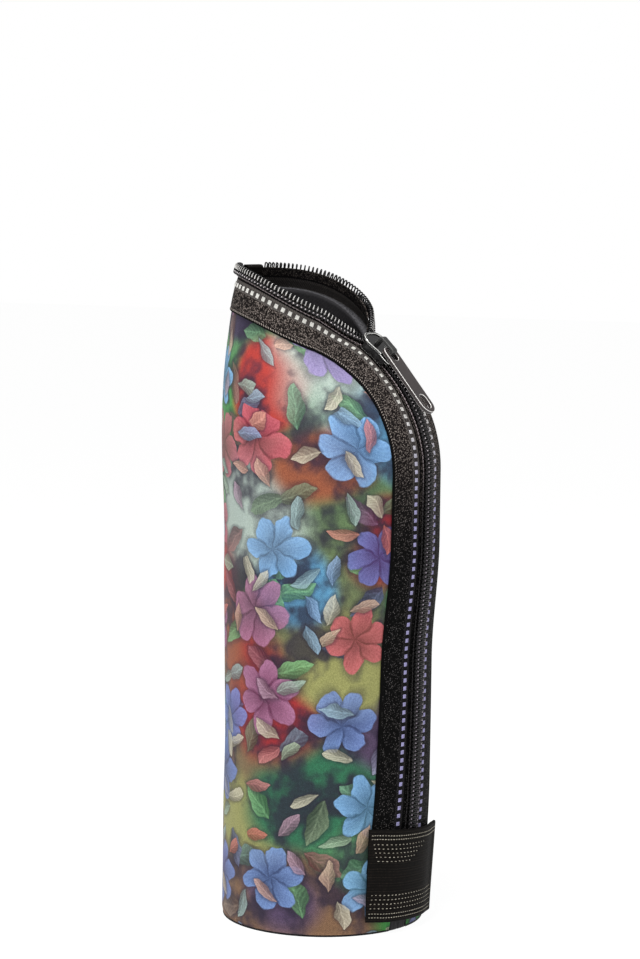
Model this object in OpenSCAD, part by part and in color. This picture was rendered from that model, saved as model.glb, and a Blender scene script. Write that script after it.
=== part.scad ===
// Zip-up insulated bottle sleeve, standing on its round base and zipped almost to the top.
// Millimetres, +Z up, origin at the middle of the underside, zip facing -Y.

/* [Sleeve] */
// Height of the top edge at the back
sleeve_h = 272; // [262:1:290]
// Outer radius at the foot
foot_r = 42.6; // [40:0.2:46]
// Reach of the back from the axis, above the foot
waist_back = 41.6; // [40:0.2:44]
// Reach of the back from the axis, at the shoulder
shoulder_back = 44; // [42:0.2:46]
// How far the back leans in at the top edge
rim_lean = 6.4; // [4:0.2:9]
// Reach of the front from the axis, low down
low_front = 44.5; // [42:0.2:46]
// Reach of the front from the axis, high up
high_front = 47.3; // [45:0.2:49]
// Height at which the front shoulder starts
shoulder_z = 189; // [175:1:195]
// Radius of the front shoulder's arc, seen from the side
shoulder_r = 57.2; // [52:0.2:60]
// Tilt of the front at the slider, from upright, in degrees
shoulder_tilt = 46; // [42:1:48]
// Width of the last fade of the front into the mouth
neck_fade = 4.6; // [3:0.2:7]

/* [Wall] */
// Thickness of the printed outer fabric
jersey_t = 0.4; // [0.3:0.05:0.8]
// Thickness of the foam
foam_t = 2.7; // [2:0.1:4]
// Thickness of the lining
lining_t = 0.4; // [0.3:0.05:0.8]
// Clearance round the base inside the lining
base_gap = 0.9; // [0.7:0.05:1.1]
// Radius of the binding round the base seam
binding_r = 0.6; // [0.4:0.1:1]
// Air round the strip that closes the slot below the chain
strip_gap = 0.4; // [0.3:0.05:0.6]

/* [Mouth] */
// Drop of the tooth row from the back of the mouth to its front
rim_drop = 22; // [18:0.5:26]
// Width of the tape between tooth row and print at the back of the mouth
mouth_tape_w = 18; // [14:0.5:20]
// Drop of the tape's outer edge from the back of the mouth to its front
edge_drop = 23; // [18:0.5:25]

/* [Zip tape] */
// Half of the width of the closed zip, centre to print
band_half = 20.2; // [18:0.2:22]
// Thickness of the tape
tape_t = 0.6; // [0.4:0.1:0.8]
// Height of the tape's underside over the print
tape_lift = 0.15; // [0.1:0.05:0.4]
// Dip of the tape along the closed chain
web_dip = 0.36; // [0.2:0.02:0.6]
// Height at which the tape starts, under the end tab
tape_foot_z = 26; // [22:0.5:30]
// Half of the gap between the panel's edges at the hem
slot_half = 5.5; // [4:0.5:7]
// Swing of the zip to one side at the hem, in degrees
lean_foot = 10; // [0:1:11]
// Swing of the zip to the other side below the shoulder, in degrees
lean_top = 1.7; // [0:0.1:3]

/* [Chain] */
// Distance between the loops of one coil
coil_pitch = 1.65; // [1.65:0.05:2.2]
// Height at which the coils start, under the end tab
coil_start_z = 36; // [30:1:40]
// Reach of a loop's head past the middle of the chain
head_reach = 0.85; // [0.7:0.05:1]
// Distance from the middle of the chain to the loops' roots
root_reach = 2.9; // [2.7:0.1:3.2]
// Height between the upper and the lower leg of a loop
loop_h = 1.75; // [1.6:0.05:2]
// Half of the filament's thickness
wire_half = 0.33; // [0.25:0.01:0.36]
// Half of a loop's head, along the chain
head_half = 0.3; // [0.25:0.01:0.32]
// Half of a loop's leg, along the chain
leg_half = 0.25; // [0.2:0.01:0.28]
// Shift of a loop's root along the chain
root_shift = 0.25; // [0.2:0.01:0.35]
// Air between the loops and the tape
loop_gap = 0.25; // [0.2:0.05:0.4]
// Half of the core cord's width
cord_half_w = 0.45; // [0.3:0.05:0.5]
// Half of the core cord's height
cord_half_h = 0.28; // [0.25:0.01:0.4]
// Half of the sewing thread's thickness
thread_half = 0.28; // [0.2:0.02:0.3]
// Air between the core cord and the loops' roots
cord_air = 0.12; // [0.12:0.02:0.24]
// Air between the loops' roots and the sewing thread
thread_air = 0.2; // [0.1:0.05:0.3]
// Bare tape between the coils' ends and the back of the mouth, in degrees
bare_angle = 15; // [10:1:20]

/* [Slider] */
// Length of the slider
slider_l = 17.5; // [16.5:0.1:19]
// Half of the slider's width at the head
head_w2 = 7.2; // [7.1:0.1:8]
// Half of the slider's width at the tail
tail_w2 = 5.4; // [5.3:0.1:5.8]
// Thickness of the slider's plates
plate_t = 1.2; // [1:0.1:1.6]
// Thickness of the slider's side flanges
flange_t = 1; // [0.8:0.1:1.05]
// Air between the chain and the slider's upper plate
chain_gap = 0.35; // [0.3:0.05:0.6]
// Depth of the slider's lower plate below the tape's dip
under_gap = 0.9; // [0.8:0.05:1.4]
// Height of the raised rim on the upper plate
rim_h = 0.6; // [0.4:0.1:0.8]
// Width of the raised rim
rim_w = 0.9; // [0.7:0.1:1.2]
// Width of the bridge
bridge_w = 3.6; // [3:0.1:4]
// Thickness of the bridge
bridge_t = 1.2; // [1:0.1:1.5]
// Length of the window under the bridge
window_l = 6.6; // [6:0.1:7.2]
// Height of the window under the bridge
window_h = 2.9; // [2.7:0.1:3.4]
// Air between the tape and the slider's side flanges
slit_air = 0.15; // [0.1:0.05:0.3]
// Length of the wedge that parts the chain
wedge_l = 1.5; // [1:0.1:2]
// Half of the wedge's width at the head
wedge_w = 0.5; // [0.4:0.05:0.6]

/* [Pull tab] */
// Distance from the pivot to the tip
pull_l = 33; // [28:0.5:40]
// Width of the blade
pull_w = 9; // [8.6:0.1:10]
// Thickness of the blade
pull_t = 1.6; // [1.4:0.1:1.7]
// Angle of the blade below the slider's plane, in degrees
pull_drop = 6; // [4:0.5:6.5]
// Air on each side of the bridge in the pull tab's eye
eye_gap = 0.4; // [0.3:0.05:0.6]
// Length of the eye from the pivot
eye_l = 6.4; // [6.2:0.1:7.5]
// Width of the oval hole near the tip
hole_w = 4.6; // [4:0.1:5.5]
// Length of the oval hole near the tip
hole_l = 7; // [6:0.1:9]
// Width of the tip beyond the oval hole
tip_w = 2; // [1.6:0.1:2.6]
// Air between the pull tab and the raised rim under it
pivot_air = 0.25; // [0.2:0.05:0.4]

/* [End tab] */
// Height of the tab's upper edge, at its middle
tab_top_z = 43; // [41:0.5:50]
// Height of the tab's lower edge, at its middle
tab_low_z = 5; // [3:0.5:7]
// Reach of the tab to the left of the front, in degrees
tab_left = 34; // [33.5:0.5:38]
// Reach of the tab to the right of the front, in degrees
tab_right = 25; // [20:1:30]
// Fall of the tab's upper edge from left to right
tab_fall = 3.6; // [0:0.2:5]
// Thickness of the tab
tab_t = 1.4; // [1:0.1:2]
// Stand-off of the tab's right edge from the print
tab_stand = 2.4; // [1.6:0.1:3]
// Air under the tab
tab_air = 0.35; // [0.3:0.05:0.5]
// Width of the tab's crest over the chain
crest_w = 18; // [16:0.5:20]

/* [Top cover] */
// Half of the angle that the cover spans at the back, in degrees
cover_half = 13; // [8:1:14]
// Height of the cover
cover_h = 8; // [6:0.5:8]
// Thickness of the cover
cover_t = 0.6; // [0.4:0.1:1]
// Air between the cover and the tape
cover_gap = 0.3; // [0.2:0.05:0.4]

/* [Hidden] */

left = -1;
right = 1;
wall_t = jersey_t + foam_t + lining_t;
half_turn = 180;

// Heights of the body's changes of section, as shares of the height of the shoulder
low_share = 0.317;
belly_start_share = 0.582;
belly_end_share = 0.847;
waist_share = 0.423;
chest_share = 0.794;
mid_back_share = 0.17;
// Height of the back's widest place, as a share of the whole height
back_top_share = 0.864;
// Heights between which the zip swings, as shares of the height of the shoulder
lean_end_share = 0.8;
lean_start_share = 0.58;
lean_full_share = 1.03;
lean_power_share = 2.2;

// Step for measuring slopes
slope_step = 0.5;

arc_top_z = shoulder_z + shoulder_r * sin(shoulder_tilt);
arc_top_front = high_front - shoulder_r * (1 - cos(shoulder_tilt));
// Share of the slider's length at which the tilt ends
tilt_end_share = 0.9;
neck_z = arc_top_z + slider_l * cos(shoulder_tilt) * tilt_end_share;
neck_front = arc_top_front - (neck_z - arc_top_z) * tan(shoulder_tilt) - neck_fade;

function ease(share) = let (s = min(1, max(0, share))) s * s * (3 - 2 * s);
function mix(a, b, share) = a + (b - a) * share;
function between(a, b, low, high, z) = mix(a, b, ease((z - low) / (high - low)));
function unit(v) = v / norm(v);

// Reach of the front of the sleeve from the axis at a height
function front(z) =
    z < low_share * shoulder_z ? between(foot_r, low_front, 0, low_share * shoulder_z, z)
    : z < belly_end_share * shoulder_z
    ? between(low_front, high_front, belly_start_share * shoulder_z, belly_end_share * shoulder_z, z)
    : z < shoulder_z ? high_front
    : z < arc_top_z ? high_front - shoulder_r + sqrt(pow(shoulder_r, 2) - pow(z - shoulder_z, 2))
    : z < neck_z ? arc_top_front - (z - arc_top_z) * tan(shoulder_tilt)
    : neck_front + neck_fade * exp(-(z - neck_z) * tan(shoulder_tilt) / neck_fade);

// Reach of the back of the sleeve from the axis at a height
function back(z) =
    let (chest = mix(waist_back, shoulder_back, mid_back_share), top_z = back_top_share * sleeve_h)
    z < waist_share * shoulder_z ? between(foot_r, waist_back, 0, waist_share * shoulder_z, z)
    : z < chest_share * shoulder_z
    ? between(waist_back, chest, waist_share * shoulder_z, chest_share * shoulder_z, z)
    : z < top_z ? between(chest, shoulder_back, chest_share * shoulder_z, top_z, z)
    : shoulder_back - rim_lean * pow((z - top_z) / (sleeve_h - top_z), 2);

function mid_r(z) = (back(z) + front(z)) / 2;
function mid_y(z) = (back(z) - front(z)) / 2;
function arc_angle(length, z) = length / mid_r(z) * half_turn / PI;

// Point at angle a and height z, h outside the sleeve's outer face
function skin(a, z, h = 0) =
    let (dr = (mid_r(z + slope_step) - mid_r(z - slope_step)) / (2 * slope_step),
         dy = (mid_y(z + slope_step) - mid_y(z - slope_step)) / (2 * slope_step))
    [mid_r(z) * sin(a), mid_y(z) - mid_r(z) * cos(a), z]
    + h * unit([sin(a), -cos(a), dy * cos(a) - dr]);

// Swing of the zip round the sleeve at a height, in degrees
function lean(z) =
    -lean_foot * pow(max(0, 1 - z / (lean_end_share * shoulder_z)), lean_power_share)
    + lean_top * ease((z / shoulder_z - lean_start_share) / (lean_full_share - lean_start_share))
      * (1 - ease((z / shoulder_z - lean_full_share) / (arc_top_z / shoulder_z - lean_full_share)));

// The two edges of each tape run with a parameter q: 0 to 1 along the closed zip, 1 to 2 through
// the bend at the slider and 2 to 3 round the mouth. Places are pairs of angle and height.
// Where the edges start to bend, as a share of the arc, and the teeth part, as one of the slider
bend_share = 0.655;
part_share = 0.5;
bend_z = shoulder_z + (arc_top_z - shoulder_z) * bend_share;
part_z = arc_top_z + slider_l * cos(shoulder_tilt) * part_share;
edge_back_z = sleeve_h - mouth_tape_w;
tooth_turn = 38;
edge_turn = 50;

function sag(a) = pow((1 + cos(a)) / 2, 2);
function tooth_z(a) = sleeve_h - rim_drop * sag(a);
function edge_z(a) = edge_back_z - edge_drop * sag(a);
function bezier(p, t) =
    pow(1 - t, 3) * p[0] + 3 * t * pow(1 - t, 2) * p[1] + 3 * t * t * (1 - t) * p[2] + pow(t, 3) * p[3];

// Shares that place the handles of the two bends between their ends
tooth_handle_share = [[0, 0.29], [0.21, 0.44]];
edge_handle_share = [[0.09, 0.44], [0.42, 0.84]];

function handle(from, to, share) =
    [mix(from[0], to[0], share[0]), mix(from[1], to[1], share[1])];
function bend(from, to, shares, t) =
    bezier([from, handle(from, to, shares[0]), handle(from, to, shares[1]), to], t);

function closed_place(z, side) = [lean(z) + side * arc_angle(band_half, z), z];
function tooth_line(q, side) =
    q < 1 ? let (z = mix(tape_foot_z, bend_z, q)) [lean(z), z]
    : q < 1.5 ? let (z = mix(bend_z, part_z, 2 * (q - 1))) [lean(z), z]
    : q < 2 ? bend([0, part_z], [side * tooth_turn, tooth_z(tooth_turn)], tooth_handle_share, 2 * (q - 1.5))
    : let (a = mix(tooth_turn, half_turn, q - 2)) [side * a, tooth_z(a)];
function edge_line(q, side) =
    q < 1 ? closed_place(mix(tape_foot_z, bend_z, q), side)
    : q < 2 ? bend(closed_place(bend_z, side), [side * edge_turn, edge_z(edge_turn)], edge_handle_share, q - 1)
    : let (a = mix(edge_turn, half_turn, q - 2)) [side * a, edge_z(a)];

// Place on the tape at a share of the way from the tooth line to the outer edge
function tape_place(q, side, share) = mix(tooth_line(q, side), edge_line(q, side), share);
web_share = 0.4;
function tape_low(share) = tape_lift - web_dip * (share < web_share ? 1 - pow(share / web_share, 2) : 0);
function on_tape(q, side, share, h) =
    let (p = tape_place(q, side, share)) skin(p[0], p[1], tape_low(share) + h);

// Closed solid from rings of points, each joined to the next, with flat ends
module swept(rings, mirrored = false) {
    n = len(rings[0]);
    m = len(rings);
    walls = [for (i = [0 : m - 2], j = [0 : n - 1])
        let (a = i * n + j, b = i * n + (j + 1) % n)
        each [[a, a + n, b], [b, a + n, b + n]]];
    ends = [for (j = [1 : n - 2]) each
        [[0, j, j + 1], [(m - 1) * n, (m - 1) * n + j + 1, (m - 1) * n + j]]];
    faces = concat(walls, ends);
    polyhedron([for (r = rings) each r], mirrored ? [for (f = faces) [f[2], f[1], f[0]]] : faces);
}

// Closed solid between two grids of points with the same rows and columns
module slab(outer, inner) {
    rows = len(outer);
    cols = len(outer[0]);
    rings = [for (i = [0 : rows - 1])
        concat(outer[i], [for (j = [cols - 1 : -1 : 0]) inner[i][j]])];
    n = 2 * cols;
    // The two halves are split along mirrored diagonals, and the inner faces along the outer ones',
    // so that layers seat on each other
    walls = [for (i = [0 : rows - 2], j = [0 : n - 1])
        let (a = i * n + j, b = i * n + (j + 1) % n)
        each (j < cols) == (2 * i < rows - 1)
            ? [[a, a + n, b], [b, a + n, b + n]] : [[a, a + n, b + n], [a, b + n, b]]];
    ends = [for (j = [0 : cols - 2], e = [0, rows - 1])
        let (a = e * n + j, b = a + 1, c = e * n + n - 1 - j, d = c - 1)
        each e == 0 ? [[a, b, c], [b, d, c]] : [[a, c, b], [b, c, d]]];
    polyhedron([for (r = rings) each r], concat(walls, ends));
}

// Panel of the wall: columns fan out from the zip's slot to the back
slot_share = 0.47;
corner_q = 1.4;
row_shares = [0, 0.12, 0.24, 0.33, 0.4, 0.46, 0.52, 0.6, 0.68, 0.76, 0.82, 0.87, 0.9, 0.92, 0.94, 0.955, 0.97,
              0.985, 1];
side_q = [corner_q, 1.6, 1.8, 2, 2.14, 2.28, 2.42, 2.56, 2.7, 2.85, 3];
corner = tape_place(corner_q, right, slot_share);

function slot_width(z) =
    mix(slot_half, slot_share * band_half, ease(z / (2 * tape_foot_z)));
function slot_angle(z, side) =
    let (a = lean(z) + side * arc_angle(slot_width(z), z))
    mix(a, side * corner[0], ease((z - bend_z) / (corner[1] - bend_z)));
function panel_column(q, side, h) =
    let (top = tape_place(q, side, slot_share),
         share = (abs(top[0]) - corner[0]) / (half_turn - corner[0]))
    [for (v = row_shares)
        let (z = top[1] * v, a = slot_angle(min(z, corner[1]), side))
        skin(mix(a, side * half_turn, share), z, h)];
function panel_grid(h) = concat(
    [for (q = side_q) panel_column(q, right, h)],
    [for (i = [len(side_q) - 2 : -1 : 0]) panel_column(side_q[i], left, h)]);

module outer_fabric() {
    color("mediumpurple") slab(panel_grid(0), panel_grid(-jersey_t));
}

module foam_panel() {
    color("dimgray") slab(panel_grid(-jersey_t), panel_grid(-jersey_t - foam_t));
}

module lining() {
    color([0.1, 0.1, 0.1]) slab(panel_grid(-jersey_t - foam_t), panel_grid(-wall_t));
}

// Round base, three layers, flush with the foot
base_r = foot_r - wall_t - base_gap;

module base_disc(low, t) {
    translate([0, 0, low]) cylinder(r = base_r, h = t, $fn = 96);
}

module base_fabric() {
    color([0.12, 0.12, 0.12]) base_disc(0, jersey_t);
}

module base_foam() {
    color("dimgray") base_disc(jersey_t, foam_t);
}

module base_lining() {
    color([0.1, 0.1, 0.1]) base_disc(jersey_t + foam_t, lining_t);
}

// Cord of binding in the corner between base and lining
module base_binding() {
    color([0.15, 0.15, 0.15]) translate([0, 0, wall_t + binding_r])
        rotate_extrude($fn = 72) translate([base_r - binding_r, 0]) circle(r = binding_r, $fn = 10);
}

// Strip that closes the slot below the chain
strip_cols = 5;
strip_rows = 4;
module seam_strip() {
    function strip_grid(h) = [for (j = [0 : strip_rows - 1])
        let (z = j / (strip_rows - 1) * (tape_foot_z - strip_gap), half = arc_angle(slot_width(z) - strip_gap, z))
        [for (i = [0 : strip_cols - 1]) skin(lean(z) + mix(-half, half, i / (strip_cols - 1)), z, h)]];
    color([0.13, 0.13, 0.13]) slab(strip_grid(-strip_gap), strip_grid(-wall_t));
}

// Zip tapes
tape_shares = [0.03, 0.2, 0.4, 0.7, 1];
// Small gap between the two tapes' ends at the back, as a share of the mouth run
tape_end_share = 0.004;
closed_steps = 26;
bend_steps = 10;
mouth_steps = 20;
tape_q = concat([for (i = [0 : closed_steps - 1]) i / closed_steps],
                [for (i = [0 : bend_steps - 1]) 1 + i / bend_steps],
                [for (i = [0 : mouth_steps]) 2 + i / mouth_steps * (1 - tape_end_share)]);

module zip_tape(side) {
    rings = [for (q = tape_q) concat(
        [for (s = tape_shares) on_tape(q, side, s, tape_t)],
        [for (i = [len(tape_shares) - 1 : -1 : 0]) on_tape(q, side, tape_shares[i], 0)])];
    swept(rings, side == left);
}

module left_zip_tape() {
    color([0.2, 0.18, 0.18]) zip_tape(left);
}

module right_zip_tape() {
    color([0.2, 0.18, 0.18]) zip_tape(right);
}

// Length along the tooth line, and the frame at a length: origin, way out across the tape, normal
samples = 320;
function tooth_point(q, side) = let (p = tooth_line(q, side)) skin(p[0], p[1]);
function run_table(side) =
    let (pts = [for (i = [0 : samples]) tooth_point(3 * i / samples, side)])
    [for (i = 0, s = 0; i <= samples; s = s + (i < samples ? norm(pts[i + 1] - pts[i]) : 0), i = i + 1)
        [s, 3 * i / samples]];
start_q = (coil_start_z - tape_foot_z) / (bend_z - tape_foot_z);
end_q = 3 - bare_angle / (half_turn - tooth_turn);

q_step = 0.004;
function chain_frame(q, side) =
    let (p = tooth_line(q, side), o = skin(p[0], p[1]), n = skin(p[0], p[1], 1) - o,
         along = tooth_point(q + q_step, side) - tooth_point(q - q_step, side))
    [o, side * unit(cross(along, n)), n];
function chain_point(f, across, h) = f[0] + across * f[1] + h * f[2];

leg_low = tape_lift - web_dip + tape_t + loop_gap + wire_half;
leg_high = leg_low + loop_h;
chain_top = leg_high + wire_half;

// A loop's four corners: across the tape, height, place along the chain, half thickness along it
loop_corners = [[root_reach, leg_high, -root_shift, leg_half, 1],
                [-head_reach, leg_high, 0, head_half, -1],
                [-head_reach, leg_low, 0, head_half, -1],
                [root_reach, leg_low, root_shift, leg_half, 1]];
function corner_ring(c, table, at, side) =
    let (up = c[1] == leg_high ? 1 : -1,
         low = chain_frame(lookup(at + c[2] - c[3], table), side),
         high = chain_frame(lookup(at + c[2] + c[3], table), side),
         far = [c[0] + c[4] * wire_half, c[1] + up * wire_half],
         near = [c[0] - c[4] * wire_half, c[1] - up * wire_half])
    [chain_point(low, far[0], far[1]), chain_point(high, far[0], far[1]),
     chain_point(high, near[0], near[1]), chain_point(low, near[0], near[1])];

module coil(side, start) {
    table = run_table(side);
    from = lookup(start_q, [for (t = table) [t[1], t[0]]]) + start;
    to = lookup(end_q, [for (t = table) [t[1], t[0]]]);
    loops = floor((to - from) / coil_pitch);
    rings = [for (k = [0 : loops - 1], c = loop_corners)
        corner_ring(c, table, from + k * coil_pitch, side)];
    swept(rings, side == left);
}

module left_coil() {
    color([0.25, 0.25, 0.25]) coil(left, 0);
}

module right_coil() {
    color([0.25, 0.25, 0.25]) coil(right, coil_pitch / 2);
}

// Square cord along the chain at a distance across and a height
cord_steps = 48;
module chain_cord(side, across, h, half_w, half_h) {
    rings = [for (i = [0 : cord_steps])
        let (f = chain_frame(mix(start_q, end_q, i / cord_steps), side))
        [chain_point(f, across - half_w, h - half_h), chain_point(f, across + half_w, h - half_h),
         chain_point(f, across + half_w, h + half_h), chain_point(f, across - half_w, h + half_h)]];
    swept(rings, side == right);
}

cord_across = root_reach - wire_half - cord_half_w - cord_air;
thread_across = root_reach + wire_half + thread_half + thread_air;

module core_cord(side) {
    chain_cord(side, cord_across, (leg_low + leg_high) / 2, cord_half_w, cord_half_h);
}

module coil_thread(side) {
    chain_cord(side, thread_across, leg_low + thread_half, thread_half, thread_half);
}

module left_core_cord() {
    color([0.4, 0.4, 0.4]) core_cord(left);
}

module right_core_cord() {
    color([0.4, 0.4, 0.4]) core_cord(right);
}

module left_coil_thread() {
    color([0.5, 0.48, 0.5]) coil_thread(left);
}

module right_coil_thread() {
    color([0.5, 0.48, 0.5]) coil_thread(right);
}

// Like a swept solid, with ends that follow the folded section
module cover(rings) {
    n = 8;
    m = len(rings);
    walls = [for (i = [0 : m - 2], j = [0 : n - 1])
        let (a = i * n + j, b = i * n + (j + 1) % n)
        each [[a, a + n, b], [b, a + n, b + n]]];
    section = [[0, 1, 7], [1, 2, 7], [2, 3, 7], [3, 6, 7], [3, 4, 6], [4, 5, 6]];
    ends = [for (t = section) each
        [t, [for (i = [2, 1, 0]) t[i] + (m - 1) * n]]];
    polyhedron([for (r = rings) each r], concat(walls, ends));
}

// Cover folded over both tapes' ends at the back of the mouth
cover_cols = 5;
module top_end_cover() {
    out_h = tape_lift + tape_t + cover_gap;
    in_h = tape_lift - web_dip - cover_gap;
    function cover_ring(a) =
        let (top = tooth_z(half_turn), low = top - cover_h)
        [skin(a, low, out_h + cover_t), skin(a, low, out_h), skin(a, top, out_h), skin(a, top, in_h),
         skin(a, low, in_h), skin(a, low, in_h - cover_t), skin(a, top, in_h - cover_t) + [0, 0, cover_t],
         skin(a, top, out_h + cover_t) + [0, 0, cover_t]];
    color([0.12, 0.12, 0.12])
        cover([for (i = [0 : cover_cols - 1])
            cover_ring(half_turn + mix(-cover_half, cover_half, i / (cover_cols - 1)))]);
}

// Webbing tab sewn over the lower end of the chain
tab_col_shares = [0, 0.1, 0.2, 0.3, 0.37, 0.43, 0.5, 0.57, 0.65, 0.8, 0.9, 1];
tab_row_shares = [0, 0.2, 0.4, 0.6, 0.8, 1];
// Share of the width from the left at which the tab starts to stand off, and other proportions
tab_bend_share = 0.6;
low_fall_share = 0.5;
low_skew_share = 0.2;
function tab_height(a, z, share) =
    let (u = (a - lean(z)) * mid_r(z) * PI / half_turn,
         edge = mix(tape_lift + tape_t + tab_air, tab_stand, ease((share - tab_bend_share) / (1 - tab_bend_share))),
         crest = chain_top + tab_air - edge)
    edge + max(0, crest) * pow(max(0, 1 - pow(u / crest_w, 4)), 2);
function tab_grid(h) = [for (v = tab_row_shares)
    [for (s = tab_col_shares)
        let (a = mix(-tab_left, mix(tab_right - tab_left * low_skew_share, tab_right, v), s),
             fall = tab_fall * mix(low_fall_share, 1, v),
             z = mix(tab_low_z, tab_top_z, v) + fall / 2 - s * fall)
        skin(a, z, tab_height(a, z, s) + h)]];

module end_tab() {
    color([0.1, 0.1, 0.1]) slab(tab_grid(tab_t), tab_grid(0));
}

// Slider: drawn flat, length along Y with the head at +Y, then stood on the tilted front
slider_z = arc_top_z + slider_l / 2 * cos(shoulder_tilt);
channel_low = tape_lift - web_dip - under_gap;
channel_high = chain_top + chain_gap;
plate_top = channel_high + plate_t;
pivot_l = -2;
pivot_h = plate_top + rim_h + pull_t / 2 + pivot_air;
slit_high = tape_lift + tape_t + slit_air;

module on_front() {
    translate([0, -front(slider_z), slider_z]) rotate([half_turn / 2 - shoulder_tilt, 0, 0]) children();
}

// Half outline: width at a share of the length from the tail, rounded at both ends
flare_from_share = 0.35;
flare_share = 0.35;
tail_end_share = 0.12;
tail_round_share = 0.2;
head_end_share = 0.3;
head_round_share = 0.65;
function rounding(part, end_share, round_share) =
    1 - round_share + round_share * sqrt(1 - pow(1 - min(1, part / end_share), 2));
function slider_half(share, less) =
    (mix(tail_w2, head_w2, ease((share - flare_from_share) / flare_share)) - less)
    * rounding(share, tail_end_share, tail_round_share)
    * rounding(1 - share, head_end_share, head_round_share);
outline_steps = 30;
function slider_outline(less) =
    let (l = slider_l - 2 * less,
         side_points = [for (i = [0 : outline_steps])
             [slider_half(i / outline_steps, less), (i / outline_steps - 0.5) * l]])
    concat(side_points, [for (i = [outline_steps : -1 : 0]) [-side_points[i][0], side_points[i][1]]]);

module slider_layer(low, high, less) {
    translate([0, 0, low]) linear_extrude(high - low) polygon(slider_outline(less));
}

// Walls that follow the outline between two shares of the length from the tail
module slider_walls(low, high, t, from_share, to_share) {
    difference() {
        intersection() {
            slider_layer(low, high, 0);
            translate([-head_w2, (from_share - 0.5) * slider_l, low])
                cube([2 * head_w2, (to_share - from_share) * slider_l, high - low]);
        }
        translate([0, 0, -t]) slider_layer(low, high + 2 * t, t);
    }
}

module bridge() {
    outer_l = window_l + 2 * bridge_t;
    translate([-bridge_w / 2, 0, 0]) rotate([half_turn / 2, 0, half_turn / 2]) linear_extrude(bridge_w)
        difference() {
            translate([-outer_l / 2 + pivot_l / 2, plate_top]) square([outer_l, window_h + bridge_t]);
            translate([-window_l / 2 + pivot_l / 2, plate_top]) square([window_l, window_h]);
        }
}

// Shares of the length between which the raised rim and the flanges stand
rim_from_share = 0.31;
flange_from_share = 0.1;
flange_to_share = 0.78;

module slider_body() {
    color([0.3, 0.3, 0.3]) on_front() {
        slider_layer(channel_high, plate_top, 0);
        slider_walls(plate_top, plate_top + rim_h, rim_w, rim_from_share, 1);
        slider_walls(slit_high, channel_high, flange_t, flange_from_share, flange_to_share);
        slider_layer(channel_low - plate_t, channel_low, flange_t);
        divider();
        bridge();
    }
}

// Wedge that parts the chain, joining the two plates at the head
wedge_tip_share = 0.2;

module divider() {
    translate([0, slider_l / 2 - wedge_l, channel_low]) linear_extrude(channel_high - channel_low)
        polygon([[-wedge_tip_share * wedge_w, 0], [wedge_tip_share * wedge_w, 0], [wedge_w, wedge_l], [-wedge_w, wedge_l]]);
}

// Pull tab: flat blade with an eye round the bridge and an oval hole
module pull_tab() {
    color([0.35, 0.33, 0.33]) on_front() translate([0, pivot_l, pivot_h]) rotate([pull_drop, 0, 0]) {
        rotate([0, half_turn / 2, 0]) cylinder(r = pull_t / 2, h = pull_w, center = true, $fn = 32);
        translate([0, 0, -pull_t / 2]) linear_extrude(pull_t) difference() {
            blade_outline();
            translate([-bridge_w / 2 - eye_gap, -eye_l])
                square([bridge_w + 2 * eye_gap, eye_l - pull_t / 2]);
            oval(hole_w, hole_l, -pull_l + tip_w + hole_l / 2);
        }
    }
}

module oval(w, l, y) {
    for (end = [-1, 1]) translate([0, y + end * (l - w) / 2]) circle(d = w, $fn = 32);
    translate([-w / 2, y - (l - w) / 2]) square([w, l - w]);
}

module blade_outline() {
    translate([-pull_w / 2, -pull_l + pull_w / 2]) square([pull_w, pull_l - pull_w / 2]);
    translate([0, -pull_l + pull_w / 2]) circle(d = pull_w, $fn = 48);
}

outer_fabric();
foam_panel();
lining();
base_fabric();
base_foam();
base_lining();
base_binding();
seam_strip();
left_zip_tape();
right_zip_tape();
left_coil();
right_coil();
left_core_cord();
right_core_cord();
left_coil_thread();
right_coil_thread();
top_end_cover();
end_tab();
slider_body();
pull_tab();
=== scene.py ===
"""Looks of a zip-up insulated bottle sleeve: printed cloth on foam, a coil zip, its slider and a sewn tab."""

import math

import bmesh
import bpy
import numpy as np
from mathutils import Matrix, Vector


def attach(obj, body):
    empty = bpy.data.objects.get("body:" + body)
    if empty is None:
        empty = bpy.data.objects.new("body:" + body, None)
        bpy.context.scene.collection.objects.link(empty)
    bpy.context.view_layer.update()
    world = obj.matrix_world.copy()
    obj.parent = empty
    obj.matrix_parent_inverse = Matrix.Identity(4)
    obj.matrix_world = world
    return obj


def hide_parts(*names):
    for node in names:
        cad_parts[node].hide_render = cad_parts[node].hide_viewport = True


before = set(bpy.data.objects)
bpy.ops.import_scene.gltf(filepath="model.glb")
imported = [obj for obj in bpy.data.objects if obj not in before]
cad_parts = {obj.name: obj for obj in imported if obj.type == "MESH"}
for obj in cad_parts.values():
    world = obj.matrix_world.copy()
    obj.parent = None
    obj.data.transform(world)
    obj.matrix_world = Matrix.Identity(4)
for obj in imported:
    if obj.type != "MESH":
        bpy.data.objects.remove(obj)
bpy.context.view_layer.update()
MM = 0.001
LEFT, RIGHT = -1, 1
SIDES = {"left": LEFT, "right": RIGHT}

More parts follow.
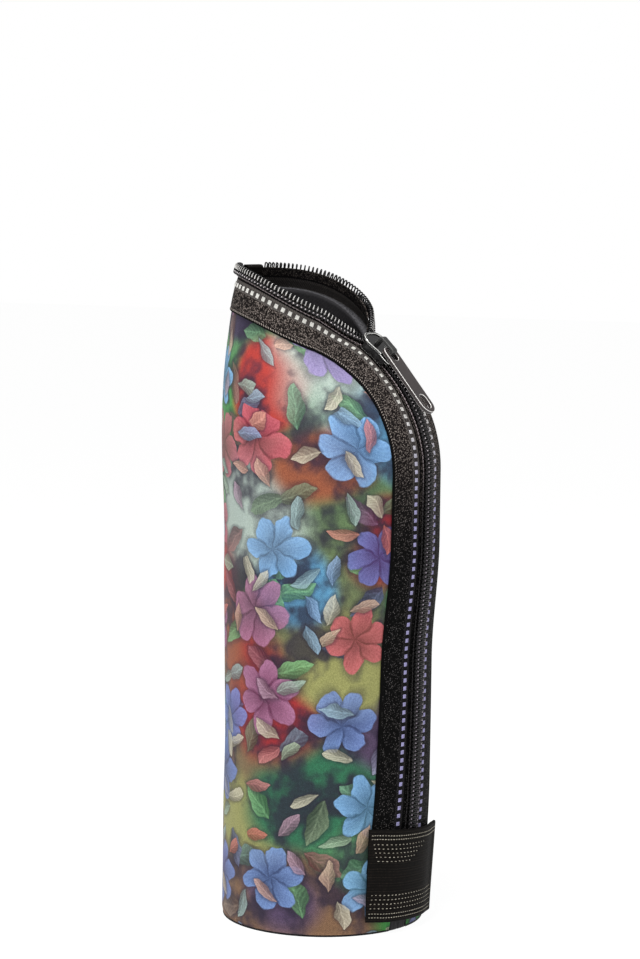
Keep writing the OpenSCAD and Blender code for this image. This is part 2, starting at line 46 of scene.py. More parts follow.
# The sleeve's own measures, in millimetres and degrees, as the solids have them
SLEEVE_H = 272.0
FOOT_R = 42.6
WAIST_BACK = 41.6
SHOULDER_BACK = 44.0
RIM_LEAN = 6.4
LOW_FRONT = 44.5
HIGH_FRONT = 47.3
SHOULDER_Z = 189.0
SHOULDER_R = 57.2
SHOULDER_TILT = math.radians(46)
NECK_FADE = 4.6
JERSEY_T = 0.4
FOAM_T = 2.7
LINING_T = 0.4
WALL_T = JERSEY_T + FOAM_T + LINING_T
BASE_GAP = 0.9
BINDING_R = 0.6
RIM_DROP = 22.0
EDGE_BACK_Z = SLEEVE_H - 18.0
EDGE_DROP = 23.0
BAND_HALF = 20.2
TAPE_T = 0.6
TAPE_LIFT = 0.15
WEB_DIP = 0.36
TAPE_FOOT_Z = 26.0
SLOT_HALF = 5.5
LEAN_FOOT = 10.0
LEAN_TOP = 1.7
COIL_PITCH = 1.65
COIL_START_Z = 36.0
ROOT_REACH = 2.9
LOOP_H = 1.75
WIRE_HALF = 0.33
CORD_HALF = 0.36
THREAD_HALF = 0.28
DASH_IN = 7.8
SLOT_W = 2 * SLOT_HALF
BARE_ANGLE = 15.0
HEADS_ABOVE = 9.0
SLIDER_L = 17.5
LEG_LOW = TAPE_LIFT - WEB_DIP + TAPE_T + 0.25 + WIRE_HALF
LEG_HIGH = LEG_LOW + LOOP_H
CHAIN_TOP = LEG_HIGH + WIRE_HALF
SLOT_SHARE = 0.47
WEB_SHARE = 0.4
CORNER_Q = 1.4
TOOTH_TURN = 38.0
EDGE_TURN = 50.0

ARC_TOP_Z = SHOULDER_Z + SHOULDER_R * math.sin(SHOULDER_TILT)
ARC_TOP_FRONT = HIGH_FRONT - SHOULDER_R * (1 - math.cos(SHOULDER_TILT))
NECK_Z = ARC_TOP_Z + SLIDER_L * math.cos(SHOULDER_TILT) * 0.9
NECK_FRONT = ARC_TOP_FRONT - (NECK_Z - ARC_TOP_Z) * math.tan(SHOULDER_TILT) - NECK_FADE
BEND_Z = SHOULDER_Z + (ARC_TOP_Z - SHOULDER_Z) * 0.655
PART_Z = ARC_TOP_Z + SLIDER_L * math.cos(SHOULDER_TILT) * 0.5


def ease(share):
    share = np.clip(share, 0, 1)
    return share * share * (3 - 2 * share)


def mix(a, b, share):
    return a + (b - a) * share


def between(a, b, low, high, z):
    return mix(a, b, ease((z - low) / (high - low)))


def unit(v):
    return v / np.linalg.norm(v, axis=-1, keepdims=True)


def front(z):
    """Reach of the front of the sleeve from the axis at a height."""
    z = np.asarray(z, float)
    arc = HIGH_FRONT - SHOULDER_R + np.sqrt(np.maximum(SHOULDER_R**2 - (z - SHOULDER_Z) ** 2, 1))
    slope = ARC_TOP_FRONT - (z - ARC_TOP_Z) * math.tan(SHOULDER_TILT)
    past = np.maximum(z - NECK_Z, 0) * math.tan(SHOULDER_TILT)
    fade = NECK_FRONT + NECK_FADE * np.exp(-past / NECK_FADE)
    low = between(FOOT_R, LOW_FRONT, 0, 0.317 * SHOULDER_Z, z)
    belly = between(LOW_FRONT, HIGH_FRONT, 0.582 * SHOULDER_Z, 0.847 * SHOULDER_Z, z)
    steps = [z < 0.317 * SHOULDER_Z, z < 0.847 * SHOULDER_Z, z < SHOULDER_Z, z < ARC_TOP_Z, z < NECK_Z]
    return np.select(steps, [low, belly, HIGH_FRONT + 0 * z, arc, slope], fade)


def back(z):
    """Reach of the back of the sleeve from the axis at a height."""
    z = np.asarray(z, float)
    chest = mix(WAIST_BACK, SHOULDER_BACK, 0.17)
    waist_z = 0.423 * SHOULDER_Z
    chest_z = 0.794 * SHOULDER_Z
    top_z = 0.864 * SLEEVE_H
    lean_in = SHOULDER_BACK - RIM_LEAN * (np.maximum(z - top_z, 0) / (SLEEVE_H - top_z)) ** 2
    steps = [z < waist_z, z < chest_z, z < top_z]
    parts = [
        between(FOOT_R, WAIST_BACK, 0, waist_z, z),
        between(WAIST_BACK, chest, waist_z, chest_z, z),
        between(chest, SHOULDER_BACK, chest_z, top_z, z),
    ]
    return np.select(steps, parts, lean_in)


def mid_r(z):
    return (back(z) + front(z)) / 2


def mid_y(z):
    return (back(z) - front(z)) / 2


def arc_angle(length, z):
    return np.degrees(length / mid_r(z))


def skin(a, z, h=0.0):
    """Points at angles a and heights z, h outside the sleeve's outer face."""
    a, z, h = np.broadcast_arrays(*(np.asarray(v, float) for v in (a, z, h)))
    a = np.radians(a)
    slope_r = mid_r(z + 0.5) - mid_r(z - 0.5)
    slope_y = mid_y(z + 0.5) - mid_y(z - 0.5)
    out = unit(np.stack([np.sin(a), -np.cos(a), slope_y * np.cos(a) - slope_r], -1))
    place = np.stack([mid_r(z) * np.sin(a), mid_y(z) - mid_r(z) * np.cos(a), z], -1)
    return place + h[..., None] * out


def lean(z):
    """Swing of the zip round the sleeve at a height, in degrees."""
    foot = LEAN_FOOT * np.maximum(0, 1 - z / (0.8 * SHOULDER_Z)) ** 2.2
    rise = ease((z / SHOULDER_Z - 0.58) / (1.03 - 0.58))
    fall = 1 - ease((z / SHOULDER_Z - 1.03) / (ARC_TOP_Z / SHOULDER_Z - 1.03))
    return LEAN_TOP * rise * fall - foot


def sag(a):
    return ((1 + np.cos(np.radians(a))) / 2) ** 2


def tooth_z(a):
    return SLEEVE_H - RIM_DROP * sag(a)


def edge_z(a):
    return EDGE_BACK_Z - EDGE_DROP * sag(a)


def bend(start, end, shares, t):
    """Angle and height along a curve between two places, its handles placed by shares."""
    found = []
    for i in (0, 1):
        p1 = mix(start[i], end[i], shares[0][i])
        p2 = mix(start[i], end[i], shares[1][i])
        near = (1 - t) ** 3 * start[i] + 3 * t * (1 - t) ** 2 * p1
        found.append(near + 3 * t * t * (1 - t) * p2 + t**3 * end[i])
    return found


def tooth_line(q, side):
    """Angle and height of the tooth row: q is 1 where the zip bends, 2 past the bend and 3 at the back."""
    q = np.asarray(q, float)
    low_z = mix(TAPE_FOOT_Z, BEND_Z, q)
    rise_z = mix(BEND_Z, PART_Z, 2 * (q - 1))
    t = np.clip(2 * (q - 1.5), 0, 1)
    swing = bend((0, PART_Z), (side * TOOTH_TURN, tooth_z(TOOTH_TURN)), ((0, 0.29), (0.21, 0.44)), t)
    ring = mix(TOOTH_TURN, 180, q - 2)
    steps = [q < 1, q < 1.5, q < 2]
    a = np.select(steps, [lean(low_z), lean(rise_z), swing[0]], side * ring)
    return a, np.select(steps, [low_z, rise_z, swing[1]], tooth_z(ring))


def edge_line(q, side):
    """Angle and height of the tape's outer edge."""
    q = np.asarray(q, float)
    low_z = mix(TAPE_FOOT_Z, BEND_Z, q)
    low_a = lean(low_z) + side * arc_angle(BAND_HALF, low_z)
    start = (float(lean(BEND_Z) + side * arc_angle(BAND_HALF, BEND_Z)), BEND_Z)
    t = np.clip(q - 1, 0, 1)
    swing = bend(start, (side * EDGE_TURN, edge_z(EDGE_TURN)), ((0.09, 0.44), (0.42, 0.84)), t)
    ring = mix(EDGE_TURN, 180, q - 2)
    steps = [q < 1, q < 2]
    return np.select(steps, [low_a, swing[0]], side * ring), np.select(steps, [low_z, swing[1]], edge_z(ring))


def tape_place(q, side, share):
    tooth = tooth_line(q, side)
    edge = edge_line(q, side)
    return mix(tooth[0], edge[0], share), mix(tooth[1], edge[1], share)


def tape_low(share):
    share = np.asarray(share, float)
    return TAPE_LIFT - WEB_DIP * np.where(share < WEB_SHARE, 1 - (share / WEB_SHARE) ** 2, 0)


def on_tape(q, side, share, h):
    a, z = tape_place(q, side, share)
    return skin(a, z, tape_low(share) + h)


def lengths_along(points):
    steps = np.linalg.norm(np.diff(points, axis=0), axis=1)
    return np.concatenate([[0], np.cumsum(steps)])


RUN_Q = np.linspace(0, 3, 321)
RUN = {side: lengths_along(skin(*tooth_line(RUN_Q, side))) for side in (LEFT, RIGHT)}
START_Q = (COIL_START_Z - TAPE_FOOT_Z) / (BEND_Z - TAPE_FOOT_Z)
END_Q = 3 - BARE_ANGLE / (180 - TOOTH_TURN)


def chain_frames(q, side):
    """Origins on the tooth row, the ways out across the tape and the outward normals."""
    a, z = tooth_line(q, side)
    origin = skin(a, z)
    normal = skin(a, z, 1) - origin
    along = skin(*tooth_line(q + 0.004, side)) - skin(*tooth_line(q - 0.004, side))
    return origin, side * unit(np.cross(along, normal)), normal


def chain_places(side, start, across, h, step=COIL_PITCH):
    """Places along the chain, one at each step, with the ways across and out."""
    first = np.interp(START_Q, RUN_Q, RUN[side]) + start
    last = np.interp(END_Q, RUN_Q, RUN[side])
    at = first + step * np.arange(int((last - first) / step))
    origin, out, normal = chain_frames(np.interp(at, RUN[side], RUN_Q), side)
    return origin + across * out + h * normal, out, normal


# Materials


def shade(red, green, blue):
    """A colour written as it looks on a screen, turned into the numbers that the shader takes."""
    parts = [c / 255 for c in (red, green, blue)]
    return (*[((c + 0.055) / 1.055) ** 2.4 if c > 0.04 else c / 12.92 for c in parts], 1.0)


def operator(kind, swapped=False):
    return lambda a, b: a.math(kind, b, a) if swapped else a.math(kind, a, b)


class Value:
    """A socket in a tree of nodes. Python's operators on it add Math nodes."""

    def __init__(self, nodes, socket):
        self.nodes = nodes
        self.socket = socket

    def math(self, operation, *terms, clamp=False):
        return self.nodes.add("Math", {"operation": operation, "use_clamp": clamp}, dict(enumerate(terms)))

    __add__ = __radd__ = operator("ADD")
    __sub__ = operator("SUBTRACT")
    __rsub__ = operator("SUBTRACT", swapped=True)
    __mul__ = __rmul__ = operator("MULTIPLY")
    __truediv__ = operator("DIVIDE")
    __pow__ = operator("POWER")

    def sine(self):
        return self.math("SINE", self)

    def absolute(self):
        return self.math("ABSOLUTE", self)

    def wrapped(self):
        return self.math("FLOORED_MODULO", self, 1.0)

    def clamped(self):
        return self.math("ADD", self, 0, clamp=True)

    def rise(self, low, high):
        """0 below low, 1 above high and smooth between them; high may be the lower of the two."""
        limits = {"From Min": low, "From Max": high, 0: self}
        return self.nodes.add("MapRange", {"interpolation_type": "SMOOTHSTEP"}, limits)

    def inside(self, low, high, soft):
        """1 between low and high, with soft edges outside them."""
        return self.rise(low - soft, low) * self.rise(high + soft, high)


class Nodes:
    """A shader's tree of nodes, with one way to add any node."""

    def __init__(self, tree):
        self.tree = tree

    def feed(self, socket, value):
        if isinstance(value, Value):
            self.tree.links.new(value.socket, socket)
        else:
            socket.default_value = value

    def add(self, kind, settings=None, sockets=None, out=0):
        node = self.tree.nodes.new("ShaderNode" + kind)
        for name, value in (settings or {}).items():
            setattr(node, name, value)
        for name, value in (sockets or {}).items():
            self.feed(node.inputs[name], value)
        return Value(self, node.outputs[out])


class Finish(Nodes):
    """A material being made: its surface shader, its coordinates and its patterns."""

    def __init__(self, name, **constants):
        self.material = bpy.data.materials.new(name)
        self.material.use_nodes = True
        super().__init__(self.material.node_tree)
        self.shader = self.tree.nodes["Principled BSDF"]
        self.surface(**constants)

    def place(self):
        """Place on the piece, in metres."""
        return self.add("TexCoord", out="Object")

    def mark(self, name, out="Fac"):
        """A number or a colour stored on the piece's mesh."""
        return self.add("Attribute", {"attribute_name": name}, out=out)

    def across_and_along(self, name):
        """The two coordinates of a UV map, in millimetres."""
        flat = self.add("UVMap", {"uv_map": name})
        return self.part(flat, "X") * 1000, self.part(flat, "Y") * 1000

    def part(self, vector, axis):
        return self.add("SeparateXYZ", None, {0: vector}, out=axis)

    def vector(self, x, y):
        return self.add("CombineXYZ", None, {0: x, 1: y})

    def moved(self, a, b, operation="ADD"):
        return self.add("VectorMath", {"operation": operation}, {0: a, 1: b})

    def drifted(self, flat, size, detail, reach):
        """Flat coordinates pushed about by broad noise, so that nothing drawn on them looks ruled."""
        drift = self.moved(self.noise(size, flat, detail, out="Color"), (0.5, 0.5, 0.5), "SUBTRACT")
        return self.moved(flat, self.moved(drift, (reach, reach, 0), "MULTIPLY"))

    def noise(self, size, where, detail=2.0, rough=0.5, out="Fac"):
        sockets = {"Vector": where, "Scale": 1 / size, "Detail": detail, "Roughness": rough}
        return self.add("TexNoise", None, sockets, out=out)

    def cells(self, size, where):
        return self.add("TexVoronoi", None, {"Vector": where, "Scale": 1 / size}, out="Distance")

    def blend(self, share, a, b, mode="MIX"):
        node = self.tree.nodes.new("ShaderNodeMix")
        node.data_type = "RGBA"
        node.blend_type = mode
        for i, value in ((0, share), (6, a), (7, b)):
            self.feed(node.inputs[i], shade(*value) if isinstance(value, tuple) else value)
        return Value(self, node.outputs[2])

    def ramp(self, share, *stops):
        """Colours from stop to stop; a stop is its place from 0 to 1 and its colour."""
        found = self.add("ValToRGB", None, {0: share})
        colours = found.socket.node.color_ramp
        while len(colours.elements) < len(stops):
            colours.elements.new(0.5)
        for element, (place, colour) in zip(colours.elements, stops):
            element.position = place
            element.color = shade(*colour)
        return found

    def surface(self, **sockets):
        for name, value in sockets.items():
            self.feed(self.shader.inputs[name.replace("_", " ")], value)

    def made(self, tone, rough, height, depth):
        """The material with its colour, its roughness and a bump whose height of 1 is a depth in metres."""
        bump = self.add("Bump", None, {"Height": height, "Distance": depth, "Strength": 1.0}, out="Normal")
        self.surface(Base_Color=tone, Roughness=rough, Normal=bump)
        return self.material


# Broad pools of ink lie under the leaves and blossoms, spaced round the sleeve as seeds are on a stem
POOL_COUNT = 44
POOL_TURN = math.radians(137.5)
POOL_HALF = 22.0
POOL_INKS = [
    (70, 156, 76),
    (160, 38, 42),
    (60, 50, 78),
    (92, 152, 190),
    (104, 172, 112),
    (150, 84, 56),
    (84, 66, 96),
    (170, 184, 176),
    (44, 110, 78),
    (172, 52, 44),
    (150, 150, 92),
]


def wash_colours(points):
    """Colour of the broad wash of ink at each point of the cloth, blended pool by pool."""
    x, y, height = points.T
    warp = 4 * np.sin(height / 9 + x / 14)
    where = points + np.stack([warp, 4 * np.cos(height / 13), 0.7 * warp], -1)
    low, high = (np.array(shade(*tone)[:3]) for tone in ((128, 96, 70), (84, 136, 90)))
    ink = mix(low, high, ease(height / SLEEVE_H)[..., None])
    for i in range(POOL_COUNT):
        angle = i * POOL_TURN
        tilt = 0.7 * math.sin(1.7 * i)
        soft = 0.5 + 0.15 * math.sin(i)
        away = where - skin(math.degrees(angle), (i + 0.5) * SLEEVE_H / POOL_COUNT)
        level = away @ (math.cos(angle), math.sin(angle), 0)
        up = away[:, 2]
        wide = (level * math.cos(tilt) + up * math.sin(tilt)) / (POOL_HALF + 6 * math.sin(2.1 * i))
        tall = (up * math.cos(tilt) - level * math.sin(tilt)) / (POOL_HALF + 7 * math.cos(1.3 * i))
        share = ease((1 + soft - (wide * wide + tall * tall)) / (2 * soft))
        # A pool stays on its own side of the sleeve
        share = share * ease((x * math.sin(angle) - y * math.cos(angle) - 8) / 8)
        ink = mix(ink, np.array(shade(*POOL_INKS[i * 3 % len(POOL_INKS)])[:3]), share[..., None])
    return ink


def one_in_a_cell(finish, flat, size, seed, randomness):
    """Place from the middle of the nearest cell, in cells, and three chances that each cell keeps."""
    moved = finish.moved(flat, (seed * 37.0, seed * 19.0, 0.0))
    sockets = {"Vector": moved, "Scale": 1 / size, "Randomness": randomness}
    middle = finish.add("TexVoronoi", {"feature": "F1", "voronoi_dimensions": "2D"}, sockets, out="Position")
    chance = Value(finish, middle.socket.node.outputs["Color"])
    away = finish.moved(moved, middle, "SUBTRACT")
    x, y = finish.part(away, "X") / size, finish.part(away, "Y") / size
    return x, y, [finish.part(chance, axis) for axis in "XYZ"]


def leaf_layer(finish, flat, size, seed, wide, inks):
    """Leaves over the whole cloth, one to a cell: their share, their shadow, their light and their colour."""
    dx, dy, (turn, there, tone) = one_in_a_cell(finish, flat, size, seed, 0.8)
    spin = turn * 6.28
    cos, sin = (spin + 1.5708).sine(), spin.sine()
    x = (dx * cos + dy * sin) * 2.3
    y = (dy * cos - dx * sin) * wide
    off = y.absolute()
    outline = off + x * x
    streaks = ((x * 1.6 - off * 1.2) * 12.0).sine() * 0.12
    lit = (0.4 + x * 0.3 + y * 0.45 + off.rise(0.14, 0.03) * 0.4 + streaks).clamped()
    there = there.rise(0.2, 0.22)
    return outline.rise(1.04, 0.94) * there, outline.rise(1.7, 0.9) * there, lit, finish.ramp(tone, *inks)


def blossom_layer(finish, flat, size, seed, petals, inks):
    """Round blossoms, one to a cell, each petal pale at its tip and deep at its root."""
    dx, dy, (turn, chance, tone) = one_in_a_cell(finish, flat, size, seed, 0.55)
    around = dy.math("ARCTAN2", dy, dx) + turn * 6.28
    lobe = (around * (petals / 6.2832)).wrapped() - 0.5
    reach = (dx * dx + dy * dy) ** 0.5 / (0.36 + chance * 0.1)
    outline = reach / (1.0 - lobe * lobe * 1.5)
    streaks = ((lobe * 44.0).sine() * 0.5 + 0.5) * outline * 0.14
    between_petals = lobe.absolute().rise(0.34, 0.5)
    lit = (outline * 0.8 - between_petals * 0.55 - streaks + lobe * 0.3 + 0.08).clamped()
    there = chance.rise(0.12, 0.14)
    return outline.rise(1.03, 0.97) * there, outline.rise(1.4, 0.9) * there, lit, finish.ramp(tone, *inks)


DEEP_INKS = ((0.0, (52, 140, 72)), (0.35, (150, 26, 36)), (0.5, (48, 62, 140)), (0.75, (96, 176, 90)))
PALE_INKS = ((0.0, (178, 206, 160)), (0.3, (136, 186, 234)), (0.55, (232, 104, 70)), (0.8, (230, 222, 190)))
BLOSSOM_INKS = (
    (0.0, (212, 30, 40)),
    (0.3, (70, 130, 216)),
    (0.5, (196, 40, 46)),
    (0.62, (60, 72, 178)),
    (0.82, (112, 176, 232)),
)


def printed_cloth():
    """Knitted cloth with leaves, blossoms and pools of colour printed on it."""
    finish = Finish("print_fabric", Sheen_Weight=0.06, Specular_IOR_Level=0.3)
    where = finish.place()
    across, along = finish.across_and_along("cloth")
    flat = finish.drifted(finish.vector(across, along), 11.0, 2.0, 7.0)
    wash = finish.mark("wash", out="Color")
    cloud = finish.noise(0.011, where, 4.0, 0.6)
    base = finish.blend((cloud - 0.35) * 0.5, wash, (214, 220, 200), "SOFT_LIGHT")
    deep = finish.noise(0.022, where, 3.0, 0.6).rise(0.46, 0.62)
    base = finish.blend(deep * 0.85, base, (34, 24, 52))
    layers = [
        (leaf_layer(finish, flat, 21.0, 1, 5.2, DEEP_INKS), 0.85),
        (blossom_layer(finish, flat, 35.0, 3, 6.0, BLOSSOM_INKS), 0.96),
        (leaf_layer(finish, flat, 15.0, 2, 5.6, PALE_INKS), 0.7),
    ]
    for (share, shadow, lit, colour), cover in layers:
        base = finish.blend(shadow * 0.55, base, (32, 24, 44))
        dim = finish.blend(0.72, colour, (22, 10, 40))
        bright = finish.blend(0.14, colour, (240, 244, 250))
        base = finish.blend(share * cover, base, finish.blend(0.12, finish.blend(lit, dim, bright), wash))
    grain = finish.noise(0.0006, where, 2.0, 0.7)
    base = finish.blend(finish.mark("backing"), base, (22, 20, 23))
    speckle = finish.ramp(grain, (0.3, (70, 70, 76)), (0.7, (215, 215, 215)))
    base = finish.blend(0.5, base, speckle, "SOFT_LIGHT")
    knit = (across * 9.0).sine() * (along * 7.0).sine() * 0.5 + 0.5
    return finish.made(base, 0.55 + grain * 0.2, knit * 0.5 + grain * 0.5, 0.00012)


def lining_cloth():
    """Black jersey inside the sleeve, matt and finely knitted."""
    finish = Finish("lining_fabric", Specular_IOR_Level=0.3)
    grain = finish.noise(0.0009, finish.place(), 3.0, 0.7)
    tone = finish.ramp(grain, (0.3, (20, 19, 21)), (0.75, (44, 42, 45)))
    across, along = finish.across_and_along("cloth")
    ribs = (across * 6.0).sine() * 0.3 + (along * 4.4 + across * 2.0).sine() * 0.2 + 0.5
    return finish.made(tone, 0.7 + grain * 0.2, ribs * 0.6 + grain * 0.4, 0.00015)


def foam():
    """Charcoal foam, seen only at its cut edges, with small open pores."""
    finish = Finish("foam", Specular_IOR_Level=0.3)
    pores = finish.cells(0.0009, finish.place())
    tone = finish.ramp(pores, (0.1, (34, 34, 36)), (0.6, (74, 73, 76)))
    return finish.made(tone, 0.85 - pores * 0.1, pores, 0.0003)


def black_cloth():
    """Black woven cloth of the base, with a coarse plain weave."""
    finish = Finish("black_fabric", Specular_IOR_Level=0.4)
    where = finish.place()
    x, y = (finish.part(where, axis) * 1000 for axis in "XY")
    weave = (x * 5.2).sine() * (y * 5.2).sine() * 0.5 + 0.5
    grain = finish.noise(0.0012, where, 3.0)
    tone = finish.ramp(weave * 0.6 + grain * 0.4, (0.3, (16, 15, 17)), (0.75, (48, 46, 48)))
    return finish.made(tone, 0.6 + grain * 0.25, weave * 0.7 + grain * 0.3, 0.0002)


def tape_cloth():
    """Zip tape: pebbly crepe, a smooth strip that holds the floats and a dark bound edge."""
    finish = Finish("zip_tape", Specular_IOR_Level=0.06)
    across, along = finish.across_and_along("tape")
    flat = finish.vector(across, along)
    bent = finish.drifted(flat, 1.6, 1.0, 0.35)
    # Pebbles lie in slanting rows: the flat map is sheared before the cells are laid
    slanted = finish.vector(finish.part(bent, "X") + finish.part(bent, "Y") * 0.5, finish.part(bent, "Y"))
    pebbles = (1.08 - finish.cells(0.66, slanted) * 1.75).clamped()
    fine = finish.noise(0.3, flat, 2.0, 0.7)
    crepe = pebbles * 0.75 + fine * 0.4 - 0.08
    twill = ((along + across * 0.9) * 6.0).sine() * 0.16 + fine * 0.6 + 0.22
    # The bands of the tape, by their limits in millimetres from the row of heads
    smooth = across.inside(5.35, 9.7, 0.12)
    lane = across.inside(6.6, 9.0, 0.15)
    # Painted light: from 150 mm up the tape, its smooth strip and its bound edge are drawn paler, where light
    # falls on the upturned tape
    painted_top_light = (finish.part(finish.place(), "Z") * 1000).rise(150, 225)
    selvedge = across.inside(18.5, 19.3, 0.12) * (painted_top_light * 0.75 + 0.25)
    edge = (along * 5.4 + across * 4.0).sine().rise(-0.2, 0.6) * 0.6 + 0.16
    # Dark lines beside the coil, in the groove inside the bound edge and along the tape's outer edge by the
    # print: painted shade
    painted_shade_lines = across.inside(4.5, 5.2, 0.14) + across.rise(19.3, 19.5) + across.inside(18.2, 18.4, 0.12) * 0.6
    painted_shade_lines = painted_shade_lines.clamped()
    height = mixed(mixed(crepe, twill, smooth), edge, selvedge) * (1 - painted_shade_lines)
    # The raised crests of the weave are drawn light: painted highlights on the pebbles and ridges
    tone = finish.ramp(height, (0.3, (4, 4, 4)), (0.56, (14, 13, 14)), (0.82, (122, 118, 116)))
    pale = finish.ramp(height, (0.2, (22, 19, 18)), (0.45, (84, 76, 72)), (0.8, (160, 150, 142)))
    tone = finish.blend(painted_top_light, tone, pale)
    grey = finish.blend(painted_top_light, (26, 25, 30), (104, 101, 99))
    tone = finish.blend(smooth * 0.65, tone, finish.blend(1 - height, grey, (30, 28, 29)))
    tone = finish.blend(lane * (0.8 - painted_top_light * 0.45), tone, (18, 17, 18))
    tone = finish.blend(painted_shade_lines, tone, (6, 6, 6))
    tone = finish.blend(finish.mark("backing") * 0.8, tone, (9, 8, 9))
    return finish.made(tone, 0.74 - height * 0.18, height, 0.00036)


def mixed(a, b, share):
    return a * (1 - share) + b * share


def coil_nylon():
    """Black nylon filament, glossy, its tone and roughness varied by fine noise."""
    finish = Finish("coil_nylon", IOR=1.5, Specular_IOR_Level=0.3)
    where = finish.place()
    drawn = finish.noise(0.0014, where, 2.0)
    tone = finish.ramp(drawn, (0.3, (6, 6, 7)), (0.75, (22, 21, 23)))
    return finish.made(tone, 0.2 + drawn * 0.14, finish.noise(0.0003, where), 0.00001)


def highlit_nylon():
    """Nylon drawn pale for the heads of the parted loops: painted highlights where light catches them, broken
    by fine grain.
    """
    finish = Finish("highlit_nylon", IOR=1.5)
    highlight_grain = finish.noise(0.0006, finish.place(), 3.0, 0.7)
    tone = finish.ramp(highlight_grain, (0.3, (96, 94, 92)), (0.62, (214, 212, 208)))
    return finish.made(tone, 0.25 + highlight_grain * 0.2, highlight_grain, 0.00003)


def thread(name, dark, light, rough, low_shade_tint=None):
    """Twisted sewing thread with slanting plies; the last argument multiplies the thread of the lower zip by
    a colour: painted shade there, which also gives the floats a lilac hue.
    """
    finish = Finish(name, Specular_IOR_Level=0.45)
    where = finish.place()
    x, y, z = (finish.part(where, axis) * 1000 for axis in "XYZ")
    ply = ((x + y + z) * 14.0).sine() * 0.5 + 0.5
    fluff = finish.noise(0.0008, where, 2.0)
    tone = finish.ramp(ply * 0.5 + fluff * 0.5, (0.25, dark), (0.7, light))
    if low_shade_tint:
        # Painted shade: the thread is drawn darker below 222 mm, fully so below 168 mm
        tone = finish.blend(z.rise(222, 168), tone, low_shade_tint, "MULTIPLY")
    return finish.made(tone, rough + fluff * 0.15, ply, 0.00006)


def webbing():
    """Black webbing of the end tab: fine ribs across, crossed by small slanting floats."""
    finish = Finish("webbing", Specular_IOR_Level=0.08)
    where = finish.place()
    across, along = finish.across_and_along("tape")
    ribs = (along * 7.5).sine() * 0.5 + 0.5
    one_way, other_way = ((across + along * slant) * 5.4 for slant in (0.5, -0.5))
    floats = one_way.sine() * other_way.sine() * 0.5 + 0.5
    grain = finish.noise(0.0011, where, 3.0, 0.65)
    worn = finish.noise(0.009, where, 3.0).rise(0.45, 0.75)
    height = ribs * 0.12 + floats * 0.46 + grain * 0.42
    tone = finish.ramp(height, (0.3, (7, 6, 5)), (0.64, (17, 14, 12)), (0.9, (58, 50, 44)))
    tone = finish.blend(worn * 0.14, tone, (36, 30, 27))
    return finish.made(tone, 0.58 + grain * 0.2, height, 0.00025)


def enamel(name, face, edge, rough):
    """Enamelled metal, drawn bright along its edges: partly bare metal where the enamel wears, partly painted
    highlights; the mesh stores where the edges are.
    """
    finish = Finish(name, IOR=1.42, Coat_Roughness=0.1)
    where = finish.place()
    edge_variation = finish.noise(0.0016, where, 3.0, 0.6)
    # Edges drawn bright: partly bare metal where the enamel wears, partly painted highlights
    edge_wear_and_highlight = (finish.mark("edge") * (0.6 + edge_variation * 0.8)).rise(0.5, 0.85)
    dust = finish.noise(0.0035, where, 4.0, 0.6)
    tone = finish.blend(dust * 0.5, face, tuple(int(c * 1.5 + 14) for c in face))
    tone = finish.blend(edge_wear_and_highlight, tone, edge)
    finish.surface(Metallic=edge_wear_and_highlight * 0.3 + 0.1, Coat_Weight=0.25 - edge_wear_and_highlight * 0.2)
    return finish.made(tone, rough + dust * 0.14, finish.noise(0.0009, where, 3.0), 0.00002)


# Meshes


def new_mesh(name, points, faces):
    """A mesh from points in millimetres."""
    mesh = bpy.data.meshes.new(name)
    mesh.from_pydata((np.asarray(points) * MM).tolist(), [], [list(map(int, f)) for f in faces])
    return mesh


def linked(name, data):
    holder = bpy.data.objects.new(name, data)
    bpy.context.scene.collection.objects.link(holder)
    return holder


def stored(mesh, name, values, kind="FLOAT"):
    """Stores a number, a way or a colour at each point of a mesh."""
    field = {"FLOAT": "value", "FLOAT_VECTOR": "vector", "FLOAT_COLOR": "color"}[kind]
    mark = mesh.attributes.new(name, kind, "POINT")
    mark.data.foreach_set(field, np.asarray(values, np.float32).ravel())


def face_outwards(mesh, merge=False):
    shell = bmesh.new()
    shell.from_mesh(mesh)
    if merge:
        bmesh.ops.remove_doubles(shell, verts=shell.verts, dist=1e-6)
    bmesh.ops.recalc_face_normals(shell, faces=shell.faces)
    shell.to_mesh(mesh)
    shell.free()
    mesh.shade_smooth()


def dressed(piece, node, body="sleeve"):
    """The piece on its body, and in place of a node's solid if a node is named."""
    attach(piece, body)
    if node:
        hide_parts(node)
    return piece


def plain_object(name, points, faces, material, uv=None):
    """An object from points in millimetres; uv holds a map's name and a pair of millimetres a point."""
    mesh = new_mesh(name, points, faces)
    if uv is not None:
        layer = mesh.uv_layers.new(name=uv[0])
        corners = np.zeros(len(mesh.loops), int)
        mesh.loops.foreach_get("vertex_index", corners)
        layer.data.foreach_set("uv", (np.asarray(uv[1]) * MM)[corners].ravel())
    mesh.materials.append(material)
    mesh.validate()
    mesh.update()
    face_outwards(mesh)
    return linked(name, mesh)


def mesh_piece(name, points, faces, material, slot, node, uv=None):
    return dressed(plain_object(name, points, faces, material, uv), node)


def grid_faces(index, wrap=(0, 0)):
    """Quads between neighbours in a grid of point numbers; wrap joins its last row or column to the first."""
    index = np.pad(index, [(0, wrap[0]), (0, wrap[1])], "wrap")
    return np.stack([index[:-1, :-1], index[1:, :-1], index[1:, 1:], index[:-1, 1:]], -1).reshape(-1, 4)


